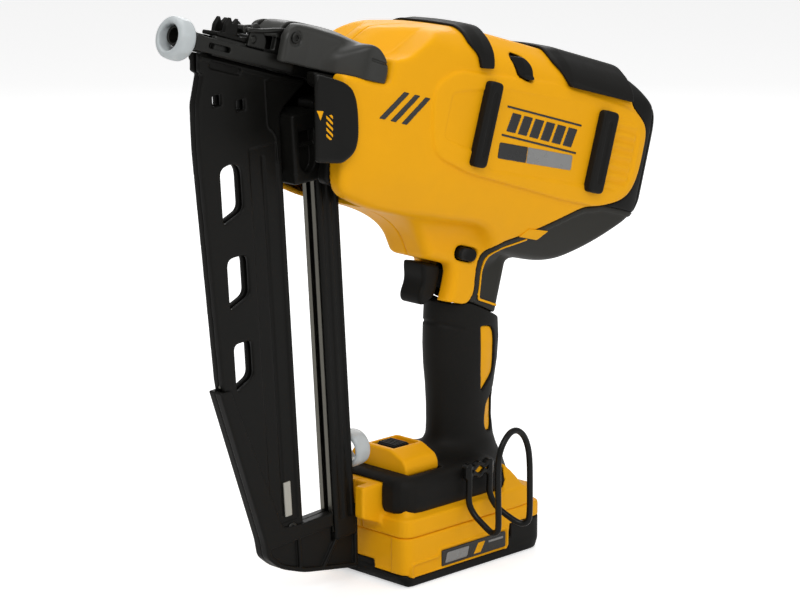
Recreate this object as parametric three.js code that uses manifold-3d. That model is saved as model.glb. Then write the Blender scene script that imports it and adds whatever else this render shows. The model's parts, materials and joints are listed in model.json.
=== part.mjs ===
// Cordless angled finish nailer, as an assembly of separate pieces.
// Units are millimetres. The tool stands on its battery: the origin is the centre of the battery's flat
// bottom, +Z is up, the nose points to -X and the tool's left side faces -Y.
import * as THREE from "three";
import { mergeVertices } from "three/addons/utils/BufferGeometryUtils.js";
import Module from "manifold-3d";

const wasm = await Module();
wasm.setup();

// ---------------------------------------------------------------- driving dimensions
// Degrees the drive axis falls towards the rear when the tool stands on its battery.
const DRIVE_TILT = 16.3;
const MAGAZINE_ANGLE = 20; // degrees between the magazine and the normal of the drive axis
const NAIL_EXIT = { x: -199, z: 342 }; // where the drive axis leaves the nose
const GAP = 0.3; // between pieces that are cut by, or rest on, a neighbour
const WALL = 3; // moulded shells
const BODY_HALF = 46; // half width of the motor housing
const GRIP = { x: 29, stretch: 1.45 }; // grip centre, and its length over its width
const FLYWHEEL = { u: 296, w: -37, r: 27 };
const LATCH_PIN = { u: 76, w: 14 };
const MAG = { front: 15.5, plates: 70.5, beam: 94, rear: 111, plateHalf: 4.2, capHalf: 5.5, beamHalf: 6.7 };
const BATTERY = { front: -55, rear: 66, half: 37, floor: 0, split: 13, top: 31 };

// ---------------------------------------------------------------- finishes
const finish = (color, roughness, metalness) =>
  new THREE.MeshStandardMaterial({ color, roughness, metalness });
const YELLOW = finish(0xf2a50c, 0.45, 0);
const BLACK_PLASTIC = finish(0x23221e, 0.55, 0);
const RUBBER = finish(0x1b1b1a, 0.8, 0);
const DARK_METAL = finish(0x2a2a28, 0.45, 0.7);
const STEEL = finish(0xa9a8a2, 0.3, 1);
const ALLOY = finish(0x8d9094, 0.5, 0.9);
const PALE_PLASTIC = finish(0xcfd4d4, 0.5, 0);
const COPPER = finish(0x9a5a34, 0.5, 0.8);

// ---------------------------------------------------------------- shapes
// A closed outline through [a, b, radius] corners; a corner with a radius is rounded.
function outline(corners) {
  const shape = new THREE.Shape();
  const towards = (from, to, distance) => {
    const step = new THREE.Vector2(to[0] - from[0], to[1] - from[1]).setLength(distance);
    return [from[0] + step.x, from[1] + step.y];
  };
  corners.forEach((corner, i) => {
    const before = corners.at(i - 1);
    const after = corners[(i + 1) % corners.length];
    const radius = corner[2] ?? 0;
    const start = radius ? towards(corner, before, radius) : corner;
    if (i === 0) shape.moveTo(start[0], start[1]);
    else shape.lineTo(start[0], start[1]);
    if (radius) shape.quadraticCurveTo(corner[0], corner[1], ...towards(corner, after, radius));
  });
  shape.closePath();
  return shape;
}

const rectangle = (a0, a1, b0, b1, radius = 0) =>
  outline([
    [a0, b0, radius],
    [a1, b0, radius],
    [a1, b1, radius],
    [a0, b1, radius],
  ]);

function extruded(shape, depth, { bevel = 0, inset = 0, steps = 2, curve = 3 } = {}) {
  return new THREE.ExtrudeGeometry(shape, {
    depth: depth - 2 * bevel,
    bevelEnabled: bevel > 0 || inset > 0,
    bevelThickness: bevel,
    bevelSize: bevel,
    bevelOffset: -bevel - inset,
    bevelSegments: steps,
    curveSegments: curve,
  }).translate(0, 0, bevel);
}

// Side-view (x, z) outline given thickness from y0 to y1.
const slab = (shape, y0, y1, options) =>
  extruded(shape, y1 - y0, options).rotateX(Math.PI / 2).translate(0, y1, 0);
// Plan-view (x, y) outline raised from z0 to z1.
const prism = (shape, z0, z1, options) => extruded(shape, z1 - z0, options).translate(0, 0, z0);
// Front-view (y, z) outline run from x0 to x1.
const Y_Z_X = new THREE.Matrix4().makeBasis(
  new THREE.Vector3(0, 1, 0),
  new THREE.Vector3(0, 0, 1),
  new THREE.Vector3(1, 0, 0),
);
const run = (shape, x0, x1, options) =>
  extruded(shape, x1 - x0, options).applyMatrix4(Y_Z_X).translate(x0, 0, 0);

const block = (x0, x1, y0, y1, z0, z1) =>
  new THREE.BoxGeometry(x1 - x0, y1 - y0, z1 - z0).translate((x0 + x1) / 2, (y0 + y1) / 2, (z0 + z1) / 2);
const pinY = (x, z, r, y0, y1, sides = 16) =>
  new THREE.CylinderGeometry(r, r, y1 - y0, sides).translate(x, (y0 + y1) / 2, z);
const pinX = (y, z, r, x0, x1, sides = 16) =>
  new THREE.CylinderGeometry(r, r, x1 - x0, sides).rotateZ(Math.PI / 2).translate((x0 + x1) / 2, y, z);
const pinZ = (x, y, r, z0, z1, sides = 16) =>
  new THREE.CylinderGeometry(r, r, z1 - z0, sides).rotateX(Math.PI / 2).translate(x, y, (z0 + z1) / 2);

const roundSection = (r, sides) =>
  new THREE.Shape(new THREE.EllipseCurve(0, 0, r, r, 0, 2 * Math.PI).getPoints(sides).slice(0, -1));
// Round bar bent along a list of points.
function wire(points, r, { samples = 60, sides = 6, tension = 0.2 } = {}) {
  const path = new THREE.CatmullRomCurve3(
    points.map((p) => new THREE.Vector3(...p)),
    false,
    "catmullrom",
    tension,
  );
  const section = roundSection(r, sides);
  return new THREE.ExtrudeGeometry(section, { steps: samples, extrudePath: path, curveSegments: 1 });
}

// Helical compression spring along X.
class Helix extends THREE.Curve {
  constructor(x0, x1, radius, turns, y, z) {
    super();
    Object.assign(this, { x0, x1, radius, turns, y, z });
  }
  getPoint(t, target = new THREE.Vector3()) {
    const angle = 2 * Math.PI * this.turns * t;
    return target.set(
      this.x0 + (this.x1 - this.x0) * t,
      this.y + this.radius * Math.cos(angle),
      this.z + this.radius * Math.sin(angle),
    );
  }
}
function spring(x0, x1, radius, wireRadius, turns, y, z) {
  return new THREE.ExtrudeGeometry(roundSection(wireRadius, 5), {
    steps: turns * 7,
    extrudePath: new Helix(x0 + wireRadius, x1 - wireRadius, radius, turns, y, z),
    curveSegments: 1,
  });
}

// ---------------------------------------------------------------- joins and cuts
function solid(geometry) {
  const bare = geometry.clone();
  bare.deleteAttribute("normal");
  bare.deleteAttribute("uv");
  const merged = mergeVertices(bare, 1e-4);
  return new wasm.Manifold(
    new wasm.Mesh({
      numProp: 3,
      vertProperties: new Float32Array(merged.attributes.position.array),
      triVerts: new Uint32Array(merged.index.array),
    }),
  );
}
function geometryOf(made) {
  const mesh = made.getMesh();
  return new THREE.BufferGeometry()
    .setAttribute("position", new THREE.BufferAttribute(mesh.vertProperties, 3))
    .setIndex(new THREE.BufferAttribute(mesh.triVerts, 1));
}
const join = (...parts) => geometryOf(parts.map(solid).reduce((a, b) => a.add(b)));
const cut = (from, ...tools) => geometryOf(tools.map(solid).reduce((a, b) => a.subtract(b), solid(from)));
const common = (a, b) => geometryOf(solid(a).intersect(solid(b)));

// ---------------------------------------------------------------- frames
const radians = THREE.MathUtils.degToRad;
const tool = new THREE.Group();
// Drive frame: x runs along the drive axis from the nail exit to the rear, z is square to it.
const drive = new THREE.Group();
drive.position.set(NAIL_EXIT.x, 0, NAIL_EXIT.z);
drive.rotation.y = radians(DRIVE_TILT);
tool.add(drive);
drive.updateMatrix();
// Magazine frame: x runs across the magazine towards the rear, -z runs down its length.
const magazine = new THREE.Group();
magazine.position.set(2, 0, 0);
magazine.rotation.y = radians(-MAGAZINE_ANGLE);
drive.add(magazine);
const driveToTool = (geometry) => geometry.applyMatrix4(drive.matrix);
const toolToDrive = (geometry) => geometry.applyMatrix4(drive.matrix.clone().invert());

function piece(frame, name, geometry, material) {
  const mesh = new THREE.Mesh(geometry, material);
  mesh.name = name;
  frame.add(mesh);
}

// ---------------------------------------------------------------- housing shells
// The motor housing is where three outlines meet: its side view and plan (drive frame), and its section.
const BODY_SIDE = outline([
  [117, -66], [100, -2], [134, 0], [134, 20], [148, 34], [172, 43], [200, 46.5], [345, 48], [366, 30],
  [375, -4], [371, -38], [340, -66], [316, -82], [268, -84], [244, -66],
]);
const BODY_PLAN = outline([
  [90, -36], [122, -38], [150, -44], [200, -BODY_HALF], [345, -BODY_HALF], [375, -36],
  [375, 36], [345, BODY_HALF], [200, BODY_HALF], [150, 44], [122, 38], [90, 36],
]);
const BODY_SECTION = outline([
  [-19, 48], [-31, 43], [-40, 32], [-BODY_HALF, 14], [-BODY_HALF, -38], [-36, -64], [-24, -84],
  [24, -84], [36, -64], [BODY_HALF, -38], [BODY_HALF, 14], [40, 32], [31, 43], [19, 48],
]);
function body(inset) {
  const soft = { bevel: 1, steps: 1, inset };
  const side = slab(BODY_SIDE, -60, 60, soft);
  return common(common(side, run(BODY_SECTION, 90, 380, soft)), prism(BODY_PLAN, -90, 60, soft));
}
// Neck that carries the trigger, in the drive frame; the notch at its front takes the trigger.
const NECK = outline([
  [176, -58], [188, -66], [203, -77], [217, -93.5], [239.5, -93.5], [240, -119],
  [226, -122], [222, -126], [240, -127.5], [263, -114], [263, -58],
]);
const NECK_HOLLOW = outline([
  [192, -60], [221, -90.5], [242.5, -90.5], [242.5, -116], [257, -109], [257, -60],
]);
const neckOuter = () => slab(NECK, -18, 18, { bevel: 1, steps: 1 });
const neckInner = () => slab(NECK_HOLLOW, -15, 15);
// Rubber-faced rear of the neck and the cover under the motor, in the drive frame.
const COVER_REGION = outline([
  [263 + GAP, -112], [263 + GAP, -80], [270, -73], [288, -64], [321, -43], [333, -39.5],
  [362 - GAP, -38.5], [362 - GAP, -90], [301, -90], [299, -112],
]);
const CAP_FRONT = 362; // where the rear cap meets the shells

// Grip core and sleeve: round profiles stretched front to back, in the tool frame.
const GRIP_PROFILE = [[18.5, 60], [17, 72], [16.5, 95], [17, 120], [17.5, 145], [18, 162]];
function gripSolid(shrink, z0, z1) {
  const profile = GRIP_PROFILE.map(([r, z]) => new THREE.Vector2(r - shrink, z));
  profile[0].y = z0;
  profile.at(-1).y = z1;
  const points = [new THREE.Vector2(0, z0), ...profile, new THREE.Vector2(0, z1)];
  return new THREE.LatheGeometry(points, 20)
    .rotateX(Math.PI / 2)
    .scale(GRIP.stretch, 1, 1)
    .translate(GRIP.x, 0, 0);
}

// Foot that holds the battery, in the tool frame; the boss at its front clasps the magazine.
const FOOT = { front: -52, rear: 56, half: 33, top: 64, rim: 42, bottom: BATTERY.top + GAP };
const BOSS = { front: -70, half: 16, slotHalf: 9, slotEnd: -60 };
const footPlan = (grow) =>
  outline([
    [FOOT.front - grow, -20], [-40, -FOOT.half - grow], [44, -FOOT.half - grow], [FOOT.rear + grow, -20],
    [FOOT.rear + grow, 20], [44, FOOT.half + grow], [-40, FOOT.half + grow], [FOOT.front - grow, 20],
  ]);

const POD = { x0: -42, x1: -14, half: 27 }; // transverse pod on the foot
function housing() {
  const rear = block(CAP_FRONT, 400, -60, 60, -100, 60);
  const upper = cut(join(body(0), neckOuter()), rear, slab(COVER_REGION, -60, 60));
  const outer = join(
    driveToTool(upper),
    gripSolid(3 + GAP, 50, 168),
    prism(footPlan(0), FOOT.bottom, FOOT.top),
    prism(rectangle(-55, 50, -BATTERY.half, BATTERY.half, 6), FOOT.bottom, FOOT.rim - GAP),
    block(BOSS.front, FOOT.front + 1, -BOSS.half, BOSS.half, 38, 62),
  );
  const inner = [
    driveToTool(body(WALL)),
    driveToTool(neckInner()),
    gripSolid(6, 48, 172),
    prism(footPlan(-WALL), FOOT.bottom - 5, FOOT.top - WALL),
  ];
  const openings = [
    driveToTool(block(90, 146, -25 - GAP, 25 + GAP, -90, 1)), // front, for the nose bracket
    driveToTool(block(90, 150, -10, 10, -5, 8)), // front, for the nosepiece
    driveToTool(block(236, 247, -9.3, 9.3, -122, -92)), // behind the trigger
    driveToTool(slab(rectangle(238.5, 255.5, -89.5, -80.5, 3), -30, 30)), // lock-off button
    driveToTool(block(232, 256, -60, -12, 26, 60)), // stall-release lever
    block(42, FOOT.rear + 10, -27, 27, 20, 42), // battery rails slide in from the rear
    block(POD.x0 + 4, POD.x1 - 2, -22, 22, FOOT.top - WALL - 1, FOOT.top + 10), // under the selector panel
    block(-90, BOSS.slotEnd, -BOSS.slotHalf, BOSS.slotHalf, 0, 110), // lower end of the magazine
  ];
  return cut(outer, ...inner, ...openings);
}
const shell = housing();
const halfSpace = (side) => block(-250, 250, side < 0 ? -100 : GAP / 2, side < 0 ? -GAP / 2 : 100, -10, 400);
piece(tool, "housing_left", common(shell, halfSpace(-1)), YELLOW);
piece(tool, "housing_right", common(shell, halfSpace(1)), YELLOW);

// Rear cap: the closed rear end of the body, as a separate shell.
function rearCap() {
  const end = common(body(0), block(CAP_FRONT + GAP, 400, -60, 60, -100, 60));
  return cut(end, block(CAP_FRONT - 5, 369, -30, 30, -30, 28));
}
piece(drive, "rear_cap", rearCap(), BLACK_PLASTIC);

// Cover under the motor, with the rubber-faced rear of the neck in one piece.
function motorCover() {
  const rear = slab(
    outline([[263 + GAP, -109], [263 + GAP, -82], [302, -80], [299, -98], [296, -109]]),
    -18, 18, { bevel: 1, steps: 1 },
  );
  const skin = cut(common(body(0), slab(COVER_REGION, -60, 60)), body(WALL));
  const core = toolToDrive(gripSolid(3, 40, 190));
  const grip = toolToDrive(gripSolid(-1, 40, 162.6));
  return cut(join(skin, rear), core, grip, block(264, 294, -14, 14, -120, -75));
}
piece(drive, "motor_cover", motorCover(), BLACK_PLASTIC);

// Grip sleeve and foot collar: one rubber overmould.
function gripOvermould() {
  const sleeve = gripSolid(0, 60, 162);
  const collar = prism(footPlan(WALL), FOOT.rim + GAP, 67, { bevel: 2, steps: 1 });
  const guard = outline([[200, -112], [226, -121], [240, -128.5], [263, -115], [263, -90], [200, -90]]);
  return cut(
    join(sleeve, collar),
    gripSolid(3, 40, 170),
    prism(footPlan(GAP), 20, FOOT.top + GAP),
    block(POD.x0 - GAP, POD.x1 + GAP, -POD.half - GAP, POD.half + GAP, 50, 90),
    block(-90, -50, -BOSS.half - GAP, BOSS.half + GAP, 30, 62 + GAP),
    driveToTool(slab(guard, -40, 40)),
  );
}
piece(tool, "grip_overmould", gripOvermould(), RUBBER);

// ---------------------------------------------------------------- bumpers on the housing
// Rubber strap over the top of the body, following its section.
function topStrap(u0, u1, rise) {
  const band = run(BODY_SECTION, u0, u1, { bevel: 1, steps: 1, inset: -rise });
  const below = block(u0 - 1, u1 + 1, -60, 60, -100, 22);
  return cut(band, body(-GAP), below, block(u0 - 1, u1 + 1, -30, 30, -1, 36));
}
piece(drive, "top_strap_front", topStrap(195, 217, 3.5), RUBBER);
piece(drive, "top_strap_rear", topStrap(284, 340, 4), RUBBER);

// Rubber bars on the side panels.
const SIDE_BARS = { front: [205.5, 217, -34, 17], rear: [311, 325, -33, 18] };
for (const [place, [u0, u1, w0, w1]] of Object.entries(SIDE_BARS))
  for (const [side, y] of [["left", -BODY_HALF - 2 - GAP], ["right", BODY_HALF + 2 + GAP]])
    piece(drive, `side_bar_${place}_${side}`, slab(rectangle(u0, u1, w0, w1, 3), y - 2, y + 2), RUBBER);

// ---------------------------------------------------------------- flywheel drive, inside the body
function driveFrame() {
  const cheek = (side) =>
    slab(
      outline([[147, -28], [147, 20], [200, 24], [345, 24], [345, -30], [318, -56], [280, -56], [256, -28]]),
      side < 0 ? -28 : 24,
      side < 0 ? -24 : 28,
    );
  const bridge = (u0, u1, w0, w1) => block(u0, u1, -26, 26, w0, w1);
  return cut(
    join(cheek(-1), cheek(1), bridge(147, 153, -28, 20), bridge(342, 345, -20, 20)),
    block(140, 160, -9.5, 9.5, -5, 5), // driver blade passes the front bridge
    pinY(FLYWHEEL.u, FLYWHEEL.w, 11, -30, 30), // bearing seats
    pinY(334, 16, 3 + 2 * GAP, -30, 30, 12), // arm pivot
  );
}
piece(drive, "drive_frame", driveFrame(), ALLOY);

const ring = (r0, r1, y0, y1, sides = 24) =>
  new THREE.LatheGeometry(
    [[r0, y0], [r1, y0], [r1, y1], [r0, y1], [r0, y0]].map((p) => new THREE.Vector2(...p)), sides,
  ).translate(FLYWHEEL.u, 0, FLYWHEEL.w);
piece(drive, "bearing_left", ring(5 + GAP, 11 - GAP, -28, -24, 16), STEEL);
piece(drive, "bearing_right", ring(5 + GAP, 11 - GAP, 24, 28, 16), STEEL);
piece(drive, "motor_stator", join(ring(8, 20, -7, 13), ring(8, 13, 12, 22)), COPPER);
// Flywheel rotor: a rim joined by a web to a hub on the shaft.
piece(
  drive,
  "flywheel_rotor",
  join(ring(22, FLYWHEEL.r, -13, 13, 28), ring(5 + GAP, 23, -13, -9, 28), ring(5 + GAP, 10, -18, -9, 28)),
  STEEL,
);
piece(drive, "motor_shaft", pinY(FLYWHEEL.u, FLYWHEEL.w, 5, -30, 30), STEEL);

// Driver: a carriage on two return rods, with the blade that strikes the nail.
const ROD = { y: 17, r: 2.5, w: 0 };
const CARRIAGE = { front: 232, rear: 296, half: 22 };
const rodHoles = (r, u0, u1) => [-1, 1].map((side) => pinX(side * ROD.y, ROD.w, r, u0, u1, 12));
piece(
  drive,
  "driver_carriage",
  cut(
    join(
      block(CARRIAGE.front, CARRIAGE.rear, -12, 12, -8, 8),
      block(CARRIAGE.front, 244, -CARRIAGE.half, CARRIAGE.half, -6, 6),
    ),
    ...rodHoles(ROD.r + 0.5, CARRIAGE.front - 1, 260),
    block(CARRIAGE.front - 1, 240, -3.4, 3.4, -1.6, 1.6),
  ),
  DARK_METAL,
);
piece(drive, "driver_blade", block(88, 239, -3, 3, -1.2, 1.2), STEEL);
for (const [side, y] of [["left", -ROD.y], ["right", ROD.y]]) {
  piece(drive, `return_rod_${side}`, pinX(y, ROD.w, ROD.r, 153 + GAP, 340 - GAP, 12), STEEL);
  piece(drive, `return_spring_${side}`, spring(161, CARRIAGE.front - GAP, 4.4, 0.7, 8, y, ROD.w), STEEL);
}
piece(
  drive,
  "driver_bumper",
  cut(
    block(153 + GAP, 160.5, -23.5, 23.5, -9, 9),
    ...rodHoles(ROD.r + GAP, 150, 165),
    block(150, 165, -4, 4, -2.5, 2.5),
  ),
  RUBBER,
);

// Pinch roller on a pivoting arm: the solenoid presses it on the carriage, and the carriage on the flywheel.
const ARM = { u: 334, w: 16, rollerU: 272, rollerW: 16.3 };
piece(
  drive,
  "pinch_arm",
  cut(
    join(
      slab(
        outline([[264, 11, 2], [264, 21, 2], [300, 26], [330, 24], [340, 20], [340, 12], [330, 10], [300, 14]]),
        -15, 15,
      ),
      pinY(ARM.u, ARM.w, 3, -27.5, 27.5, 12),
    ),
    block(260, 286, -9 - GAP, 9 + GAP, 0, 30),
    pinY(ARM.rollerU, ARM.rollerW, 2.4, -20, 20, 12),
  ),
  ALLOY,
);
piece(
  drive,
  "pinch_roller",
  join(pinY(ARM.rollerU, ARM.rollerW, 7, -9, 9, 20), pinY(ARM.rollerU, ARM.rollerW, 2, -14.5, 14.5, 12)),
  STEEL,
);
const coil = cut(block(292, 320, -12, 12, 29, 42), pinZ(306, 0, 4.5, 25, 39, 12));
piece(drive, "solenoid_body", coil, DARK_METAL);
piece(drive, "solenoid_plunger", pinZ(306, 0, 4, 26.6, 37, 12), STEEL);

// ---------------------------------------------------------------- trigger group
// Finger-shaped trigger with a hooked front, on a pin in the neck.
const TRIGGER_PIN = { u: 234, w: -99.5 };
piece(
  drive,
  "trigger",
  cut(
    join(
      slab(
        outline([
          [222.5, -95.5], [236, -94], [239, -97], [239, -114, 3], [230, -120.5],
          [226.5, -119.5], [224.5, -115, 3], [226, -106, 3], [223, -99],
        ]),
        -8.5, 8.5, { bevel: 1, steps: 1 },
      ),
      block(236, 242, -4.5, 4.5, -110, -104),
    ),
    pinY(TRIGGER_PIN.u, TRIGGER_PIN.w, 1.8 + GAP, -12, 12, 12),
  ),
  BLACK_PLASTIC,
);
piece(drive, "trigger_pin", pinY(TRIGGER_PIN.u, TRIGGER_PIN.w, 1.8, -8, 8, 12), STEEL);
piece(drive, "trigger_switch", block(247.5, 256.5, -8, 8, -108, -97), BLACK_PLASTIC);
piece(drive, "lock_off_button", slab(rectangle(239, 255, -89, -81, 3), -21, 21), BLACK_PLASTIC);
piece(
  drive,
  "stall_lever",
  slab(outline([[234, 36], [236, 46], [246, 46], [249, 36], [246, 20], [238, 20]]), -38, -30),
  BLACK_PLASTIC,
);

// ---------------------------------------------------------------- electronics and battery
piece(tool, "controller_module", block(-44, 34, -24, 24, 46.5, 58), BLACK_PLASTIC);
// Four blades under a block reach into the battery's slots.
const BLADES = [-9, -3, 3, 9];
const blades = BLADES.map((y) => block(-26, 6, y - 0.5, y + 0.5, 34.5, 42));
piece(tool, "terminal_block", join(block(-30, 10, -12, 12, 41.5, 46.2), ...blades), DARK_METAL);

// Transverse pod on the foot with the recess of the mode switch.
function selectorPanel() {
  const crown = outline([
    [-POD.half, 64 + GAP], [-POD.half, 68], [-16, 79], [-8, 81],
    [8, 81], [16, 79], [POD.half, 68], [POD.half, 64 + GAP],
  ]);
  return cut(run(crown, POD.x0, POD.x1, { bevel: 1.5, steps: 1 }), block(-37, -19, -9, 9, 76, 90));
}
piece(tool, "selector_panel", selectorPanel(), YELLOW);
const slider = join(block(-36.5, -24, -6, 6, 76 + GAP, 78), block(-34, -27, -6, 6, 77, 80));
piece(tool, "mode_switch", slider, BLACK_PLASTIC);

const batteryPlan = (inset) =>
  outline([
    [BATTERY.front + inset, -BATTERY.half + 9], [BATTERY.front + 8, -BATTERY.half + inset],
    [BATTERY.rear - 9, -BATTERY.half + inset], [BATTERY.rear - inset, -BATTERY.half + 14],
    [BATTERY.rear - inset, BATTERY.half - 14], [BATTERY.rear - 9, BATTERY.half - inset],
    [BATTERY.front + 8, BATTERY.half - inset], [BATTERY.front + inset, BATTERY.half - 9],
  ]);
function batteryTop() {
  const shellPart = cut(
    prism(batteryPlan(0), BATTERY.split + GAP, BATTERY.top - GAP),
    prism(batteryPlan(2.5), 0, BATTERY.top - 3),
  );
  const rails = block(-48, 50, -20, 20, BATTERY.top - 3, 38);
  const rear = block(50, 65, -26, 26, BATTERY.top - 3, 40);
  const slots = BLADES.map((y) => block(-60, 8, y - 1.2, y + 1.2, 32.5, 45));
  return cut(
    join(shellPart, rails, rear), ...slots,
    block(-44, 46, -17, 17, 20, 31), block(57 - GAP, 70, -13 - GAP, 13 + GAP, 22, 50),
  );
}
piece(tool, "battery_case_top", batteryTop(), YELLOW);
piece(
  tool,
  "battery_case_bottom",
  cut(
    prism(batteryPlan(0), BATTERY.floor, BATTERY.split, { bevel: 1, steps: 1 }),
    prism(batteryPlan(2.5), 2, BATTERY.split + 5),
  ),
  BLACK_PLASTIC,
);
// Five cells side by side, welded into one pack by a strip at each end.
piece(
  tool,
  "cell_pack",
  join(
    ...[0, 1, 2, 3, 4].map((i) => pinY(-38 + i * 18.8, 12, 9, -32, 32, 14)),
    block(-44, 43, -33, -31.8, 8, 16), block(-44, 43, 31.8, 33, 8, 16),
  ),
  STEEL,
);
const latch = join(block(58, 64, -13, 13, 30, 37), block(57.5, 60, -13, 13, 26, 37));
piece(tool, "battery_latch", latch, BLACK_PLASTIC);

// Wire hook that stands off the left side of the foot, with its bracket and screw head.
const HOOK = { a: -5, b: 19, near: -40.5, far: -62 };
piece(
  tool,
  "belt_hook",
  join(
    wire(
      [
        [HOOK.a, HOOK.near, 66], [HOOK.a, HOOK.near, 42],
        [HOOK.a, HOOK.near - 3, 34], [HOOK.a, HOOK.far + 3, 27],
        [HOOK.a, HOOK.far, 33], [HOOK.a, HOOK.far, 72], [(HOOK.a + HOOK.b) / 2, HOOK.far, 88],
        [HOOK.b, HOOK.far, 72], [HOOK.b, HOOK.far, 33], [HOOK.b, HOOK.far + 3, 27],
        [HOOK.b, HOOK.near - 3, 34], [HOOK.b, HOOK.near, 42], [HOOK.b, HOOK.near, 66],
      ],
      2.2,
      { samples: 44 },
    ),
    block(HOOK.a - 2, HOOK.b + 2, -42, -36 - 2 * GAP, 58, 67),
    pinY(7, 62.5, 5, -45, -41, 12),
  ),
  DARK_METAL,
);

// ---------------------------------------------------------------- nose
// Channel that guides the nail from the magazine to the work.
const channel = cut(
  join(block(27, 140.5, -7, 7, -6, 5), block(LATCH_PIN.u - 5, LATCH_PIN.u + 5, -7, 7, -6, LATCH_PIN.w + 3)),
  block(0, 150, -3.5, 3.5, -2, 20),
  block(108, 150, -8, 8, 2, 20),
);
piece(drive, "nosepiece", join(channel, pinY(LATCH_PIN.u, LATCH_PIN.w, 2, -15.5, 15.5, 12)), DARK_METAL);
// Bracket between the nose and the body: two cheeks around the top of the magazine, joined across the back.
// A plate on its left cheek points at the depth scale.
function noseBracket() {
  const cheek = outline([[92, -40], [89, -2], [146 - GAP, 0.5], [146 - GAP, -45], [128, -62], [100, -62]]);
  const face = toolToDrive(block(-112, -80, -42, 42, 268, 322));
  const pointer = outline([
    [80, -50], [80, -2 - GAP], [113, -6], [118, -12], [126, -24], [128, -36], [124, -43], [112, -46],
  ]);
  return cut(
    join(slab(cheek, -25, 25), common(face, slab(pointer, -50, 50))),
    cut(body(-GAP), block(90, 146 - GAP, -25, 25, -100, 30)),
    block(80, 141, -17, 17, -100, 7),
    block(80, 160, -17, 17, -100, -42),
    block(140, 160, -9.5, 9.5, -6.5, 5),
    block(80, 97 - GAP, 9, 24, -7, 5), // room for the depth wheel and the trip spring
    pinX(18, -1, 2.2, 90, 106, 12), // the stud of the trip
  );
}
piece(drive, "nose_bracket", noseBracket(), BLACK_PLASTIC);
// Hinged door over the channel, for clearing a jammed nail, with two claws the bail hooks on.
const DOOR_HINGE = { u: 52.5, w: 7.9 };
const claw = outline([[28, 6], [27, 13], [30, 17], [33, 12], [36, 6]]);
piece(
  drive,
  "nose_door",
  join(
    block(28, 50, -6.5, 6.5, 5 + GAP, 7.5),
    pinY(DOOR_HINGE.u, DOOR_HINGE.w, 2.2, -6.5, 6.5, 12),
    block(48, 52.5, -6.5, 6.5, 5.8, 7.8),
    ...[-4.5, 4.5].map((y) => slab(claw, y - 1.5, y + 1.5)),
  ),
  DARK_METAL,
);
// Long over-centre lever that holds the door shut: narrow at its pivot, with a finger wing each side
// at the rear.
function latchLever() {
  const profile = [
    [71, 8], [70, 19], [78, 23.5], [97, 25], [112, 24], [126, 17], [133, 10], [131, 3], [112, 2.5], [90, 6],
  ];
  const plan = (w) => [
    [65, -16 + w], [80, -18 + w], [104, -25 + w], [118, -37 + w], [134, -38 + w],
    [134, 38 - w], [118, 37 - w], [104, 25 - w], [80, 18 - w], [65, 16 - w],
  ];
  const inside = outline([
    [60, -10], [60, 15], [72, 19], [78, 21.3], [97, 22.3], [110, 21.3], [123, 15], [129, 9], [129, -10],
  ]);
  return cut(
    common(slab(outline(profile), -40, 40), prism(outline(plan(0)), 0, 30)),
    common(slab(inside, -40, 40), prism(outline(plan(2.5)), -20, 30)),
    ...[-10.5, 10.5].map((y) => block(60, 87, y - 1.7, y + 1.7, 10, 30)), // the bail's arms
    pinY(LATCH_PIN.u, LATCH_PIN.w, 2 + GAP, -30, 30, 12),
  );
}
piece(drive, "latch_lever", latchLever(), BLACK_PLASTIC);
// Wire bail that pulls on the door's claws; it hangs in the lever, just behind the lever's pivot.
const BAIL = { u: 83, w: 18.6, front: 23.5, frontW: 11, half: 10.5, r: 1.2 };
piece(
  drive,
  "latch_bail",
  wire(
    [
      [BAIL.u, -BAIL.half, BAIL.w],
      [34, -BAIL.half, BAIL.frontW + 1],
      [BAIL.front, -BAIL.half + 3, BAIL.frontW],
      [BAIL.front, BAIL.half - 3, BAIL.frontW],
      [34, BAIL.half, BAIL.frontW + 1],
      [BAIL.u, BAIL.half, BAIL.w],
    ],
    BAIL.r,
    { samples: 30 },
  ),
  STEEL,
);
// Contact trip: a sleeve at the nail exit, with an arm each side of the channel.
const TRIP = { tip: 3, sleeve: 16, armEnd: 86 };
const WHEEL = { y: 18, w: -1 };
piece(
  drive,
  "contact_trip",
  cut(
    join(
      block(TRIP.tip, TRIP.sleeve, -6, 6, -5.5, 5.5),
      ...[-8.65, 8.65].map((y) => block(TRIP.sleeve - 5, TRIP.armEnd, y - 1.35, y + 1.35, -5.5, 3)),
      block(TRIP.sleeve - 5, TRIP.sleeve, -9, 9, -5.5, 4),
      block(TRIP.armEnd - 15, TRIP.armEnd - 11, 9, 21, -3, 1),
      pinX(WHEEL.y, WHEEL.w, 1.5, TRIP.armEnd - 13, 93.5, 12),
    ),
    block(0, 20, -3.5, 3.5, -2.5, 3),
  ),
  DARK_METAL,
);
// Soft pad pushed over the trip, so that its steel doesn't mark the work.
function padRing(r) {
  const section = [[6.2, -5], [r - 2, -6], [r, -3], [r, 3], [r - 2, 6], [6.2, 6], [6.2, -5]];
  return new THREE.LatheGeometry(section.map((p) => new THREE.Vector2(...p)), 24);
}
piece(
  drive,
  "no_mar_pad",
  cut(
    padRing(12).rotateZ(-Math.PI / 2).translate(5, 0, -1.5),
    block(TRIP.tip - GAP, 12, -6 - GAP, 6 + GAP, -5.8, 5.8),
    block(8.7, 12, -9 - GAP, 9 + GAP, -5.8, 4.3),
  ),
  PALE_PLASTIC,
);
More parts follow.
